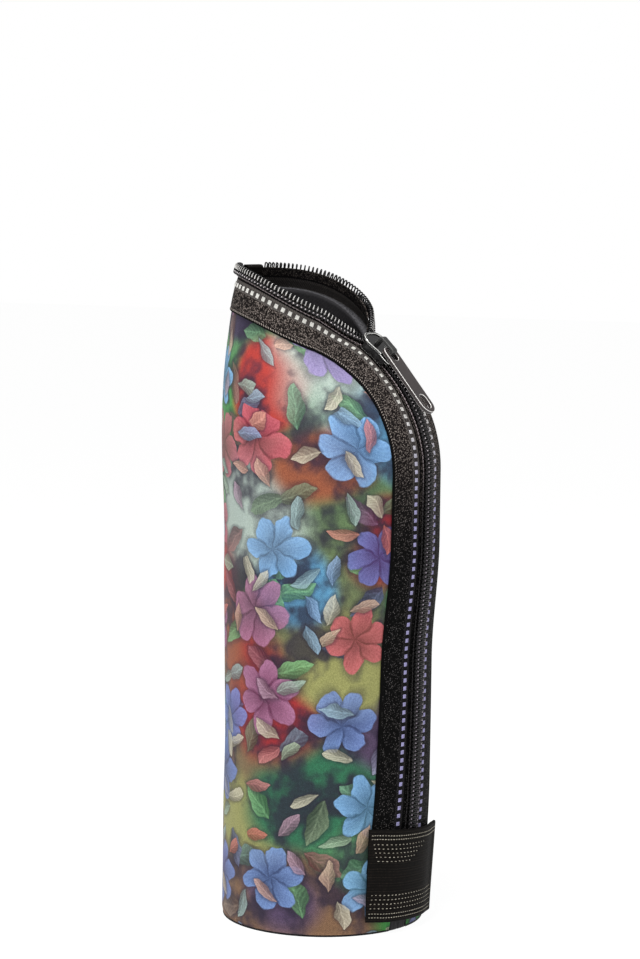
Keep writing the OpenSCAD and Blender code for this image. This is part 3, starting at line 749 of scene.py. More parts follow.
def soft_shell(name, outer, inner, across, along, material, slot, node, uv="tape"):
    """A closed shell between two grids of points, whose flat coordinates go into a UV map."""
    points = np.concatenate([outer.reshape(-1, 3), inner.reshape(-1, 3)])
    index = np.arange(len(points) // 2).reshape(outer.shape[:2])
    under = index + index.size
    ring = np.concatenate([index[0, :], index[1:, -1], index[-1, -2::-1], index[-2:0:-1, 0]])
    after = np.roll(ring, -1)
    sides = np.stack([ring, after, after + index.size, ring + index.size], -1)
    faces = np.concatenate([grid_faces(index), grid_faces(under)[:, [0, 3, 2, 1]], sides])
    flat = np.stack(np.broadcast_arrays(across, along), -1).reshape(-1, 2)
    return mesh_piece(name, points, faces, material, slot, node, (uv, np.concatenate([flat] * 2)))


def tube_points(path, radius, sides):
    """Rings of points round a path and the faces of the closed tube through them."""
    path = np.asarray(path, float)
    along = unit(np.gradient(path, axis=0))
    guide = np.array([0.0, 0.0, 1.0])
    across = unit(np.cross(along, guide + 0.001))
    up = np.cross(across, along)
    turn = np.linspace(0, 2 * np.pi, sides, endpoint=False)[:, None]
    rings = path[:, None] + radius * (np.cos(turn) * across[:, None] + np.sin(turn) * up[:, None])
    index = np.arange(len(path) * sides).reshape(-1, sides)
    faces = grid_faces(index, (0, 1))[:, [0, 3, 2, 1]].tolist()
    return rings.reshape(-1, 3), [*faces, index[0, ::-1], index[-1]]


# Repeats by Geometry Nodes


class Repeat:
    """A tree that sets one shape at every point of a mesh, turned by the ways stored on the points."""

    def __init__(self, name, sizes):
        self.tree = bpy.data.node_groups.new(name, "GeometryNodeTree")
        self.socket("Points", "Geometry")
        for label, value in sizes.items():
            self.socket(label, "Int" if isinstance(value, int) else "Float").default_value = value
        self.finish = self.socket("Finish", "Material")
        self.socket("Shapes", "Geometry", "OUTPUT")
        self.sizes = self.tree.nodes.new("NodeGroupInput").outputs

    def socket(self, label, kind, end="INPUT"):
        return self.tree.interface.new_socket(label, in_out=end, socket_type="NodeSocket" + kind)

    def add(self, kind, sockets=None, out=0, **settings):
        node = self.tree.nodes.new(kind)
        for key, value in settings.items():
            setattr(node, key, value)
        for key, value in (sockets or {}).items():
            if isinstance(value, bpy.types.NodeSocket):
                self.tree.links.new(value, node.inputs[key])
            else:
                node.inputs[key].default_value = value
        return node.outputs[out]

    def way(self, name):
        kind = "GeometryNodeInputNamedAttribute"
        return self.add(kind, {"Name": name}, "Attribute", data_type="FLOAT_VECTOR")

    def end(self, shape):
        """Sets the shape at the points: its X axis goes across, its Z axis out of the surface."""
        ways = {0: self.way("out"), 1: self.way("across")}
        turn = self.add("FunctionNodeAxesToRotation", ways, primary_axis="Z", secondary_axis="X")
        dots = self.add("GeometryNodeMeshToPoints", {"Mesh": self.sizes["Points"]})
        put = self.add("GeometryNodeInstanceOnPoints", {"Points": dots, "Instance": shape, "Rotation": turn})
        real = self.add("GeometryNodeRealizeInstances", {"Geometry": put})
        sleek = self.add("GeometryNodeSetShadeSmooth", {"Geometry": real})
        coated = self.add("GeometryNodeSetMaterial", {"Geometry": sleek, "Material": self.sizes["Finish"]})
        self.tree.links.new(coated, self.tree.nodes.new("NodeGroupOutput").inputs[0])
        return self

    def place(self, name, places, across, out, material, slot, node=None):
        """Makes the plain mesh of this repeat at places in millimetres, as a piece of the sleeve."""
        holder = linked(name + "_holder", new_mesh(name + "_places", places, []))
        stored(holder.data, "across", across, "FLOAT_VECTOR")
        stored(holder.data, "out", out, "FLOAT_VECTOR")
        modifier = holder.modifiers.new("repeat", "NODES")
        modifier.node_group = self.tree
        modifier[self.finish.identifier] = material
        bpy.context.view_layer.update()
        found = holder.evaluated_get(bpy.context.evaluated_depsgraph_get())
        mesh = bpy.data.meshes.new_from_object(found)
        holder.modifiers.remove(modifier)
        bpy.data.objects.remove(holder)
        mesh.name = name
        return dressed(linked(name, mesh), node)


def wire_repeat(name, path, radius, sides=7):
    """Repeat of a round wire bent along a path."""
    repeat = Repeat(name, {"Wire radius": radius * MM, "Wire sides": sides})
    mesh = bpy.data.meshes.new(name + "_path")
    mesh.from_pydata((np.asarray(path) * MM).tolist(), [(i, i + 1) for i in range(len(path) - 1)], [])
    # The line is an object outside the scene, which only the tree reads
    line = bpy.data.objects.new(name + "_path", mesh)
    found = repeat.add("GeometryNodeObjectInfo", {"Object": line}, "Geometry")
    curve = repeat.add("GeometryNodeMeshToCurve", {"Mesh": found})
    round_sizes = {"Resolution": repeat.sizes["Wire sides"], "Radius": repeat.sizes["Wire radius"]}
    ring = repeat.add("GeometryNodeCurvePrimitiveCircle", round_sizes, mode="RADIUS")
    sockets = {"Curve": curve, "Profile Curve": ring, "Fill Caps": True}
    return repeat.end(repeat.add("GeometryNodeCurveToMesh", sockets))


def grain_repeat(name, across, along, high, turn=0.0):
    """Repeat of a small rounded grain, such as one stitch: its three half sizes and its turn in degrees."""
    halves = {"Half across": across * MM, "Half along": along * MM, "Half height": high * MM}
    repeat = Repeat(name, {**halves, "Turn": math.radians(turn)})
    ball = repeat.add("GeometryNodeMeshUVSphere", {"Segments": 8, "Rings": 6, "Radius": 1.0})
    scale = repeat.add("ShaderNodeCombineXYZ", {i: repeat.sizes[label] for i, label in enumerate(halves)})
    spin = repeat.add("ShaderNodeCombineXYZ", {2: repeat.sizes["Turn"]})
    sockets = {"Geometry": ball, "Scale": scale, "Rotation": spin}
    return repeat.end(repeat.add("GeometryNodeTransform", sockets))


print_fabric = printed_cloth()
foam_finish = foam()
lining_fabric = lining_cloth()
black_fabric = black_cloth()
zip_tape_cloth = tape_cloth()
coil_finish = coil_nylon()
head_highlight_finish = highlit_nylon()
cord_finish = thread("cord", (60, 58, 60), (110, 106, 108), 0.7)
# The lower zip's threads are multiplied by painted shade; on the floats it also leaves a lilac hue
sewing_thread = thread("thread", (128, 122, 124), (232, 224, 226), 0.5, (214, 208, 220))
root_thread = thread("root_thread", (84, 74, 76), (176, 162, 164), 0.55, (52, 50, 52))
tab_thread = thread("tab_thread", (84, 79, 68), (190, 183, 166), 0.5)
float_thread = thread("float_thread", (190, 188, 184), (248, 247, 240), 0.4, (194, 190, 246))
tab_webbing = webbing()
# The pale edge colours stand partly for worn metal and partly for painted highlights along the rims
slider_enamel = enamel("slider_metal", (7, 6, 7), (232, 232, 228), 0.16)
bridge_enamel = enamel("bridge_metal", (34, 34, 34), (84, 84, 82), 0.45)
pull_enamel = enamel("pull_metal", (44, 38, 38), (236, 234, 230), 0.34)


# The wall of the sleeve: three layers that share their folds


def puckers(a, z):
    """Small waves of the wall, in millimetres: the foam buckles a little where the zip draws it round."""
    a = np.radians(a)
    wave = 0.22 * np.sin(3 * a + z / 31) * np.sin(z / 23 + 1.3)
    wave += 0.12 * np.sin(7 * a - z / 17) * np.sin(z / 13 + 0.4)
    near_zip = np.exp(-((np.abs(a) - 0.62) ** 2) / 0.05)
    wave += 0.12 * near_zip * np.sin(z / 6.5 + 2 * a) * ease((210 - z) / 40)
    return wave * ease(z / 25) * ease((236 - z) / 30)


CORNER = tuple(float(x) for x in tape_place(CORNER_Q, RIGHT, SLOT_SHARE))


def slot_width(z):
    return mix(SLOT_HALF, SLOT_SHARE * BAND_HALF, ease(z / (2 * TAPE_FOOT_Z)))


def slot_angle(z, side):
    a = lean(z) + side * arc_angle(slot_width(z), z)
    return mix(a, side * CORNER[0], ease((z - BEND_Z) / (CORNER[1] - BEND_Z)))


def wall_columns(q, side, shares):
    top_a, top_z = tape_place(q[:, None], side, SLOT_SHARE)
    share = (np.abs(top_a) - CORNER[0]) / (180 - CORNER[0])
    z = top_z * shares[None]
    a = slot_angle(np.minimum(z, CORNER[1]), side)
    return mix(a, side * 180, share), z


def wall_layer(name, node, outer_depth, inner_depth, material, slot):
    shares = np.linspace(0, 1, 150) ** 0.9
    q = np.concatenate([np.linspace(CORNER_Q, 2, 34)[:-1], np.linspace(2, 3, 78)])
    right = wall_columns(q, RIGHT, shares)
    left = wall_columns(q[-2::-1], LEFT, shares)
    a, z = np.concatenate([right, left], axis=1)
    wave = puckers(a, z)
    # The outer fabric rolls in at the hem, as a turned edge does
    hem = 0.55 * np.exp(-z / 0.8) if outer_depth == 0 else 0
    outer = skin(a, z, wave - outer_depth - hem)
    inner = skin(a, z, wave - inner_depth)
    piece = soft_shell(name, outer, inner, np.radians(a) * FOOT_R, z, material, slot, node, "cloth")
    # The print is on the outer face alone: the last rows and the inner face show the cloth's dark back
    stored(piece.data, "backing", np.concatenate([(z > z[:, -1:] - 0.2).ravel(), np.ones(z.size)]))
    if node == "outer_fabric":
        ink = wash_colours(np.concatenate([outer.reshape(-1, 3)] * 2))
        stored(piece.data, "wash", np.column_stack([ink, np.ones(len(ink))]), "FLOAT_COLOR")
    return piece


cover = wall_layer("printed_cover", "outer_fabric", 0, JERSEY_T, print_fabric, "print_fabric")
foam_wall = wall_layer("foam_wall", "foam_panel", JERSEY_T, JERSEY_T + FOAM_T, foam_finish, "foam")
inner_lining = wall_layer("inner_lining", "lining", JERSEY_T + FOAM_T, WALL_T, lining_fabric, "lining_fabric")


# The round base and the binding of its seam


def base_layer(name, node, low, thick, material, slot):
    radius = FOOT_R - WALL_T - BASE_GAP
    rings = 26
    sides = 120
    turn = np.linspace(0, 2 * np.pi, sides, endpoint=False)
    roll = min(thick / 2, 0.5)
    bow = np.linspace(-np.pi / 2, np.pi / 2, 9)
    profile = [(r, low) for r in np.linspace(0, radius - roll, rings)[1:]]
    profile += [(radius - roll + roll * math.cos(b), low + thick / 2 + thick / 2 * math.sin(b)) for b in bow]
    profile += [(r, low + thick) for r in np.linspace(radius - roll, 0, rings)[1:-1]]
    points = [(0, 0, low)]
    for r, z in profile:
        points += [(r * math.sin(t), -r * math.cos(t), z) for t in turn]
    points = np.array([*points, (0, 0, low + thick)])
    index = 1 + np.arange(len(profile) * sides).reshape(-1, sides)
    faces = grid_faces(index, (0, 1)).tolist()
    after = np.roll(index, -1, 1)
    faces += [(0, j, k) for j, k in zip(index[0], after[0])]
    faces += [(len(points) - 1, k, j) for j, k in zip(index[-1], after[-1])]
    return mesh_piece(name, points, faces, material, slot, node, uv=("cloth", points[:, :2]))


base_cover = base_layer("base_cover", "base_fabric", 0, JERSEY_T, black_fabric, "black_fabric")
base_pad = base_layer("base_pad", "base_foam", JERSEY_T, FOAM_T, foam_finish, "foam")
base_inner = base_layer(
    "base_inner_cloth", "base_lining", JERSEY_T + FOAM_T, LINING_T, lining_fabric, "lining_fabric"
)


def binding():
    """Bias binding round the base seam: a rounded cord with the slant folds of its cloth."""
    radius = FOOT_R - WALL_T - BASE_GAP - BINDING_R
    sides = 14
    steps = 540
    turn = np.linspace(0, 2 * np.pi, steps, endpoint=False)
    bow = np.linspace(0, 2 * np.pi, sides, endpoint=False)
    fold = BINDING_R * (1 - 0.09 * (0.5 + 0.5 * np.sin(60 * turn[:, None] + bow[None])))
    out = radius + fold * np.cos(bow)
    z = WALL_T + BINDING_R + fold * np.sin(bow)
    points = np.stack([out * np.sin(turn)[:, None], -out * np.cos(turn)[:, None], z], -1).reshape(-1, 3)
    faces = grid_faces(np.arange(steps * sides).reshape(steps, sides), (1, 1))
    mesh_piece("base_seam_binding", points, faces, black_fabric, "black_fabric", "base_binding")


binding()


def strip():
    """Folded strip that closes the slot under the chain, creased down its middle."""
    rows = np.linspace(0, 1, 40)[:, None]
    cols = np.linspace(0, 1, 30)[None]
    z = rows * (TAPE_FOOT_Z - 0.4)
    half = arc_angle(slot_width(z) - 0.4, z)
    a = lean(z) + mix(-half, half, cols)
    edge = np.minimum(np.minimum(cols, 1 - cols) * SLOT_W, np.minimum(rows, 1 - rows) * 25)
    soft = 0.3 * np.exp(-edge / 0.5)
    crease = 0.25 * np.exp(-(((cols - 0.5) * SLOT_W) ** 2) / 0.3)
    outer = skin(a, z, -0.4 - soft - crease)
    inner = skin(a, z, -WALL_T + soft)
    names = black_fabric, "black_fabric", "seam_strip", "cloth"
    soft_shell("slot_strip", outer, inner, cols * SLOT_W, z, *names)


strip()


# Zip tapes, coils, cords and threads


def tape(label, side):
    near_coil = [0.03, 0.06, 0.1, 0.14, 0.18, 0.22, 0.25, 0.28, 0.31, 0.32, 0.35, 0.4, 0.45, 0.465, 0.48]
    near_edge = [0.895, 0.905, 0.915, 0.93, 0.96, 0.985, 1.0]
    shares = np.concatenate([near_coil, np.linspace(0.52, 0.88, 10), near_edge])
    q = np.concatenate([np.linspace(0, 1, 230)[:-1], np.linspace(1, 2, 110)[:-1], np.linspace(2, 2.996, 160)])
    # Millimetres from the row of heads: proud at the bound edge and the floats, and sunk beside them
    u = shares * BAND_HALF
    crest = 0.14 * np.exp(-(((u - 19.3) / 0.6) ** 2)) + 0.1 * np.exp(-(((u - 8.0) / 1.1) ** 4))
    dip = 0.1 * np.exp(-(((u - 6.42) / 0.22) ** 2)) + 0.1 * np.exp(-(((u - 18.25) / 0.2) ** 2))
    edge = 0.28 * np.exp((u - BAND_HALF) / 0.25)
    top, low = (on_tape(q[:, None], side, shares, h) for h in (TAPE_T + crest - dip - edge, 0 * u))
    middle = lengths_along(on_tape(q, side, 0.45, 0.0))
    names = zip_tape_cloth, "zip_tape", label + "_zip_tape"
    piece = soft_shell(label + "_tape_cloth", top, low, u, middle[:, None], *names)
    # The tape's back is darker than its face
    stored(piece.data, "backing", np.repeat([0.0, 1.0], len(q) * len(u)))
    return piece


def loop_path(side):
    """One turn of the coil, from the root of its upper leg round the head to the next upper leg."""
    shape = [
        (2.92, -0.25, LEG_HIGH - 0.16),
        (2.6, -0.24, LEG_HIGH),
        (1.5, -0.16, LEG_HIGH + 0.02),
        (0.3, -0.05, LEG_HIGH + 0.02),
        (-0.45, 0.0, LEG_HIGH - 0.04),
        (-0.8, 0.0, LEG_HIGH - 0.34),
        (-0.88, 0.0, LEG_HIGH - 0.87),
        (-0.8, 0.0, LEG_LOW + 0.34),
        (-0.45, 0.0, LEG_LOW + 0.04),
        (0.3, 0.05, LEG_LOW),
        (1.5, 0.16, LEG_LOW),
        (2.6, 0.25, LEG_LOW + 0.02),
        (2.92, 0.42, LEG_LOW + 0.3),
        (2.96, 0.82, LEG_LOW + 0.87),
        (2.93, 1.22, LEG_HIGH - 0.35),
        (2.92, COIL_PITCH - 0.25, LEG_HIGH - 0.16),
    ]
    return [(x, side * y, z) for x, y, z in shape]


def coil(label, side, start):
    repeat = wire_repeat("coil_loops_" + label, loop_path(side), WIRE_HALF)
    places = chain_places(side, start, 0, 0)
    repeat.place(label + "_coil_loops", *places, coil_finish, "coil_nylon", label + "_coil")


def heads(label, side, start):
    """Pale copies over the heads of the parted loops above the slider: painted highlights."""
    path = [(1.0, -0.13, 0.07), (0.2, -0.04, 0.09), (-0.4, 0, 0.04), (-0.8, 0, -0.28)]
    path = [(x, side * y, LEG_HIGH + z) for x, y, z in path]
    repeat = wire_repeat("coil_heads_" + label, path, WIRE_HALF - 0.04, 8)
    places = np.array(chain_places(side, start, 0, 0))
    apart = places[:, places[0, :, 2] > PART_Z + HEADS_ABOVE]
    repeat.place(label + "_loop_heads", *apart, head_highlight_finish, "coil_nylon")


def core(label, side):
    q = np.linspace(START_Q, END_Q, 420)
    origin, across, out = chain_frames(q, side)
    middle = origin + (ROOT_REACH - WIRE_HALF - 0.55) * across + (LEG_LOW + LEG_HIGH) / 2 * out
    mesh_piece(label + "_core", *tube_points(middle, CORD_HALF, 8), cord_finish, "cord", label + "_core_cord")


def stitches(label, side, start):
    """The sewing that holds the coil: knots over the loops' legs and a thread beside their roots, drawn dark
    by painted shade in the lower zip.
    """
    knots = grain_repeat("coil_knot_" + label, 0.36, 0.3, 0.3, side * 30)
    places = chain_places(side, start + COIL_PITCH / 2, 2.15, LEG_HIGH + 0.08)
    knots.place(label + "_coil_knots", *places, sewing_thread, "thread", label + "_coil_thread")
    beside = grain_repeat("coil_stitch_" + label, 0.24, 0.86, 0.28)
    reach = ROOT_REACH + WIRE_HALF + THREAD_HALF + 0.1
    places = chain_places(side, start, reach, LEG_LOW + 0.05)
    beside.place(label + "_coil_stitches", *places, root_thread, "thread")


def woven_dashes(label, side):
    """Light floats woven into the tape beside the coil, one dash to every two loops."""
    share = DASH_IN / BAND_HALF
    q = np.linspace(0.01, 2.99, 1500)
    run = lengths_along(on_tape(q, side, share, TAPE_T))
    at = np.interp(np.arange(1.0, run[-1] - 2, 2 * COIL_PITCH), run, q)
    origin = on_tape(at, side, share, TAPE_T + 0.06)
    across = unit(on_tape(at, side, share + 0.02, TAPE_T) - on_tape(at, side, share - 0.02, TAPE_T))
    along = unit(on_tape(at + 0.002, side, share, TAPE_T) - on_tape(at - 0.002, side, share, TAPE_T))
    out = side * unit(np.cross(across, along))
    path = [(-0.85, 0, 0), (-0.7, 0, 0.07), (0.7, 0, 0.07), (0.85, 0, 0)]
    steps = (-0.6, -0.2, 0.2, 0.6)
    places = np.concatenate([origin + step * along for step in steps])
    ways = [np.tile(way, (len(steps), 1)) for way in (across, out)]
    repeat = wire_repeat("float_" + label, path, 0.21, 6)
    return repeat.place(label + "_woven_floats", places, *ways, float_thread, "zip_tape")


for label, side in SIDES.items():
    start = 0 if side == LEFT else COIL_PITCH / 2
    cloth = tape(label, side)
    coil(label, side, start)
    heads(label, side, start)
    core(label, side)
    stitches(label, side, start)
    floats = woven_dashes(label, side)


# The fold of webbing over the tapes' ends and the sewn tab below

COVER_HALF = 13.0
COVER_H = 8.0
COVER_T = 0.6
COVER_OUT = TAPE_LIFT + TAPE_T + 0.3
COVER_IN = TAPE_LIFT - WEB_DIP - 0.3
TAB_TOP_Z = 43.0
TAB_LOW_Z = 5.0
TAB_LEFT = 34.0
TAB_RIGHT = 25.0
TAB_FALL = 3.6
TAB_W = 46.0
TAB_T = 1.4
TAB_STAND = 2.4
TAB_AIR = 0.35
CREST_W = 18.0


def end_cover():
    a = 180 + np.linspace(-COVER_HALF, COVER_HALF, 40)[:, None]
    leg = np.linspace(0, 1, 16)
    over = np.linspace(0, np.pi, 14)[1:-1]
    middle = (COVER_OUT + COVER_IN) / 2

    def section(grow, high):
        half = (COVER_OUT - COVER_IN) / 2 + grow
        h = middle + half * np.concatenate([np.ones(16), np.cos(over), -np.ones(16)])
        z = np.concatenate([COVER_H * (leg - 1), high * np.sin(over), -COVER_H * leg])
        return h, SLEEVE_H + z

    ends = np.abs(np.linspace(-1, 1, 40))[:, None]
    h, z = section(COVER_T, COVER_T)
    outer = skin(a, z, h - 0.25 * np.sign(h - middle) * np.exp((ends - 1) * 30))
    h, z = section(0.0, 0.08)
    inner = skin(a, z, h)
    run = np.linspace(0, 2 * COVER_H, len(z))
    names = tab_webbing, "webbing", "top_end_cover"
    soft_shell("mouth_end_fold", outer, inner, np.radians(a) * FOOT_R, run, *names)
    repeat = grain_repeat("fold_stitch", 0.28, 0.75, 0.16, 90)
    at = 180 + np.linspace(-COVER_HALF + 1.6, COVER_HALF - 1.6, 9)
    row_z = SLEEVE_H - COVER_H + 1.6
    spots = skin(at, row_z, COVER_OUT + COVER_T + 0.02)
    across = np.stack([np.cos(np.radians(at)), np.sin(np.radians(at)), 0 * at], -1)
    out = skin(at, row_z, 1) - skin(at, row_z, 0)
    repeat.place("mouth_end_stitches", spots, across, out, tab_thread, "thread")


end_cover()


def on_tab(v, s, h):
    """Points on the end tab: v goes up it from 0 to 1, and s goes from its left end to its right one."""
    v, s = np.broadcast_arrays(np.asarray(v, float), np.asarray(s, float))
    a = mix(-TAB_LEFT, mix(TAB_RIGHT - TAB_LEFT * 0.2, TAB_RIGHT, v), s)
    fall = TAB_FALL * mix(0.5, 1, v)
    z = mix(TAB_LOW_Z, TAB_TOP_Z, v) + fall / 2 - s * fall
    u = np.radians(a - lean(z)) * mid_r(z)
    edge = mix(TAPE_LIFT + TAPE_T + TAB_AIR, TAB_STAND, ease((s - 0.6) / 0.4))
    crest = CHAIN_TOP + TAB_AIR - edge
    rise = edge + np.maximum(0, crest) * np.maximum(0, 1 - (u / CREST_W) ** 4) ** 2
    return skin(a, z, rise + h)


# Rows of stitches on the tab: how far below its top edge in millimetres, the two shares of the tab's width
# between which the row runs, and its pitch in millimetres
TAB_ROWS = [
    (2.3, 0.03, 0.97, 1.15),
    (3.8, 0.03, 0.97, 1.15),
    (6.0, 0.05, 0.64, 1.85),
    (7.7, 0.06, 0.6, 1.85),
    (9.4, 0.07, 0.55, 1.85),
    (11.1, 0.08, 0.52, 1.85),
    (12.8, 0.1, 0.45, 1.85),
    (26.8, 0.05, 0.93, 1.85),
    (28.6, 0.05, 0.95, 1.85),
    (30.4, 0.04, 0.95, 1.85),
    (32.2, 0.04, 0.96, 1.85),
    (34.4, 0.03, 0.96, 1.3),
    (36.0, 0.03, 0.96, 1.3),
]


def end_tab():
    v = np.linspace(0, 1, 150)[:, None]
    s = np.linspace(0, 1, 180)[None]
    high = TAB_TOP_Z - TAB_LOW_Z
    border = np.minimum(np.minimum(s, 1 - s) * TAB_W, np.minimum(v, 1 - v) * high)
    roll = 0.42 * np.exp(-border / 0.35)
    hem = 0.1 * ease((4.6 - border) / 0.6)
    buckle = 0.12 * np.sin(s * 9 + v * 2.2) * np.sin(v * 6 + 0.7) * ease(border / 5)
    pressed = 0 * v * s
    for down, first, last, _ in TAB_ROWS:
        along = ease((s - first) / 0.01) * ease((last - s) / 0.01)
        pressed = pressed + 0.13 * along * np.exp(-((((1 - v) * high - down) / 0.4) ** 2))
    outer = on_tab(v, s, TAB_T - roll + hem + buckle - pressed)
    inner = on_tab(v, s, roll * 0.6 + np.minimum(buckle, 0) * 0.5 + 0.06)
    soft_shell("sewn_end_tab", outer, inner, s * TAB_W, v * high, tab_webbing, "webbing", "end_tab")
    rows = []
    for down, first, last, pitch in TAB_ROWS:
        at = np.arange(first * TAB_W, last * TAB_W, pitch) / TAB_W
        v = 1 - down / high + 0 * at
        h = TAB_T + 0.04
        way = unit(on_tab(v, at + 0.01, h) - on_tab(v, at - 0.01, h))
        up = unit(on_tab(v + 0.01, at, h) - on_tab(v - 0.01, at, h))
        rows.append([on_tab(v, at, h), way, unit(np.cross(way, up))])
    places = np.concatenate(rows, axis=1)
    grain_repeat("tab_stitch", 0.44, 0.2, 0.17).place("end_tab_stitches", *places, tab_thread, "thread")


end_tab()


# The slider and its pull, drawn flat with the head at +Y and stood on the tilted front

SLIDER_Z = ARC_TOP_Z + SLIDER_L / 2 * math.cos(SHOULDER_TILT)
HEAD_HALF = 7.2
TAIL_HALF = 5.4
PLATE_T = 1.2
FLANGE_T = 1.0
CHANNEL_LOW = TAPE_LIFT - WEB_DIP - 0.9
CHANNEL_HIGH = CHAIN_TOP + 0.35
SLIT_HIGH = TAPE_LIFT + TAPE_T + 0.15
PLATE_TOP = CHANNEL_HIGH + PLATE_T
RIM_H = 0.6
RIM_W = 0.9
BRIDGE_W = 3.6
BRIDGE_T = 1.2
WINDOW_L = 6.6
WINDOW_H = 2.9
PIVOT_L = -2.0
PULL_L = 33.0
PULL_W = 9.0
PULL_T = 1.6
PULL_DROP = 6.0
PIVOT_H = PLATE_TOP + RIM_H + PULL_T / 2 + 0.25


def tilted(place, angle):
    return Matrix.Translation(place) @ Matrix.Rotation(angle, 4, "X")


STAND = tilted((0, -front(SLIDER_Z), SLIDER_Z), math.pi / 2 - SHOULDER_TILT)
ON_PIN = STAND @ tilted((0, PIVOT_L, PIVOT_H), math.radians(PULL_DROP))
ON_SIDE = Matrix(((0, 0, 1, 0), (1, 0, 0, 0), (0, 1, 0, 0), (0, 0, 0, 1)))


def rounding(part, end_share, round_share):
    return 1 - round_share + round_share * np.sqrt(1 - (1 - np.minimum(1, part / end_share)) ** 2)


def slider_line(less, low=0.0, high=1.0):
    """Points up the slider's right side between two shares of its length."""
    share = np.linspace(low, high, 60)
    half = mix(TAIL_HALF, HEAD_HALF, ease((share - 0.35) / 0.35)) - less
    half = half * rounding(share, 0.12, 0.2) * rounding(1 - share, 0.3, 0.65)
    return np.stack([half, (share - 0.5) * (SLIDER_L - 2 * less)], -1)


def both_sides(line):
    return np.concatenate([line, line[::-1] * (-1, 1)])


def rounded_box(left, low, right, high, low_r, high_r):
    """Outline of a box whose lower and upper corners have their own radii."""
    middles = [(right - low_r, low + low_r, low_r), (right - high_r, high - high_r, high_r)]
    middles += [(left + high_r, high - high_r, high_r), (left + low_r, low + low_r, low_r)]
    outline = []
    for start, (x, y, r) in zip((-90, 0, 90, 180), middles):
        turn = np.radians(np.linspace(start, start + 90, 13))
        outline += [(x + r * math.cos(t), y + r * math.sin(t)) for t in turn]
    return outline


def soft_plate(outlines, low, high, soft, place=STAND):
    """Plate with soft edges between two heights: its points, its faces and a mark on points at edges."""
    curve = bpy.data.curves.new("outline", "CURVE")
    curve.dimensions = "2D"
    curve.fill_mode = "BOTH"
    curve.extrude = ((high - low) / 2 - soft) * MM
    curve.bevel_depth = soft * MM
    curve.bevel_resolution = 4
    curve.offset = -soft * MM
    for outline in outlines:
        line = curve.splines.new("POLY")
        line.points.add(len(outline) - 1)
        for point, (x, y) in zip(line.points, outline):
            point.co = (x * MM, y * MM, 0, 1)
        line.use_cyclic_u = True
    holder = linked("outline", curve)
    mesh = bpy.data.meshes.new_from_object(holder.evaluated_get(bpy.context.evaluated_depsgraph_get()))
    bpy.data.objects.remove(holder)
    points = np.array([v.co for v in mesh.vertices]) / MM
    depth = (high - low) / 2 - np.abs(points[:, 2])
    near = ((depth > soft * 0.02) & (depth < soft * 0.96)).astype(float)
    points[:, 2] += (low + high) / 2
    points = points @ np.array(place.to_3x3()).T + np.array(place.translation)
    return points, [list(f.vertices) for f in mesh.polygons], near


def metal_piece(name, parts, material, body, node=None):
    """One piece from several softened parts; its mesh stores where the edges are."""
    points, faces, near = [], [], []
    for part in parts:
        faces += [[i + len(points) for i in face] for face in part[1]]
        points += part[0].tolist()
        near += part[2].tolist()
    mesh = new_mesh(name, points, faces)
    stored(mesh, "edge", near)
    face_outwards(mesh, merge=True)
    mesh.materials.append(material)
    piece = linked(name, mesh)
    piece.modifiers.new("weighted normals", "WEIGHTED_NORMAL").keep_sharp = False
    dressed(piece, node, body)


def slider_body():
    plate = [both_sides(slider_line(0))]
    rim = [np.concatenate([both_sides(slider_line(0, 0.31)), both_sides(slider_line(RIM_W, 0.31))[::-1]])]
    parts = [
        soft_plate(plate, CHANNEL_HIGH, PLATE_TOP, 0.18),
        soft_plate(rim, PLATE_TOP - 0.3, PLATE_TOP + RIM_H, 0.28),
        soft_plate([both_sides(slider_line(FLANGE_T))], CHANNEL_LOW - PLATE_T, CHANNEL_LOW, 0.18),
    ]
    for side in (LEFT, RIGHT):
        wall = np.concatenate([slider_line(0, 0.1, 0.78), slider_line(FLANGE_T - 0.3, 0.1, 0.78)[::-1]])
        parts.append(soft_plate([wall * (side, 1)], SLIT_HIGH + 0.12, CHANNEL_HIGH + 0.3, 0.15))
    head = SLIDER_L / 2
    wedge = [(-0.1, head - 1.5), (0.1, head - 1.5), (0.5, head), (-0.5, head)]
    parts.append(soft_plate([wedge], CHANNEL_LOW - 0.1, CHANNEL_HIGH + 0.1, 0.04))
    metal_piece("slider_shell", parts, slider_enamel, "slider", "slider_body")
    low = PIVOT_L / 2 - WINDOW_L / 2
    high = PIVOT_L / 2 + WINDOW_L / 2
    top = PLATE_TOP + WINDOW_H
    arch = rounded_box(low - BRIDGE_T, PLATE_TOP - 0.4, high + BRIDGE_T, top + BRIDGE_T, 0.1, 1.3)
    inner = rounded_box(low, PLATE_TOP - 0.2, high, top, 0.1, 0.8)
    bridge = soft_plate([arch, inner], -BRIDGE_W / 2, BRIDGE_W / 2, 0.35, STAND @ ON_SIDE)
    metal_piece("slider_bridge", [bridge], bridge_enamel, "slider")


def pull_blade():
    half = PULL_W / 2
    blade = rounded_box(-half, -PULL_L, half, 0.3, half, 2.4)
    eye_half = BRIDGE_W / 2 + 0.4
    eye = rounded_box(-eye_half, -6.4, eye_half, -PULL_T / 2, 1.9, 0.9)
    hole = rounded_box(-2.3, -PULL_L + 2, 2.3, -PULL_L + 9, 2.3, 2.3)
    parts = [soft_plate([blade, eye, hole], -PULL_T / 2, PULL_T / 2, 0.24, ON_PIN)]
    metal_piece("pull_blade", parts, pull_enamel, "pull", "pull_tab")


slider_body()
pull_blade()


# Floor, light and camera


def shared_out(nodes, last, share, shader, other, strength):
    """Gives an output a mix of its own shader and of a white one of another kind."""
    white = nodes.add(other, None, {"Color": (1, 1, 1, 1), "Strength": strength})
    both = nodes.add("MixShader", None, {0: share, 1: Value(nodes, shader.outputs[0]), 2: white})
    nodes.feed(nodes.tree.nodes[last].inputs["Surface"], both)


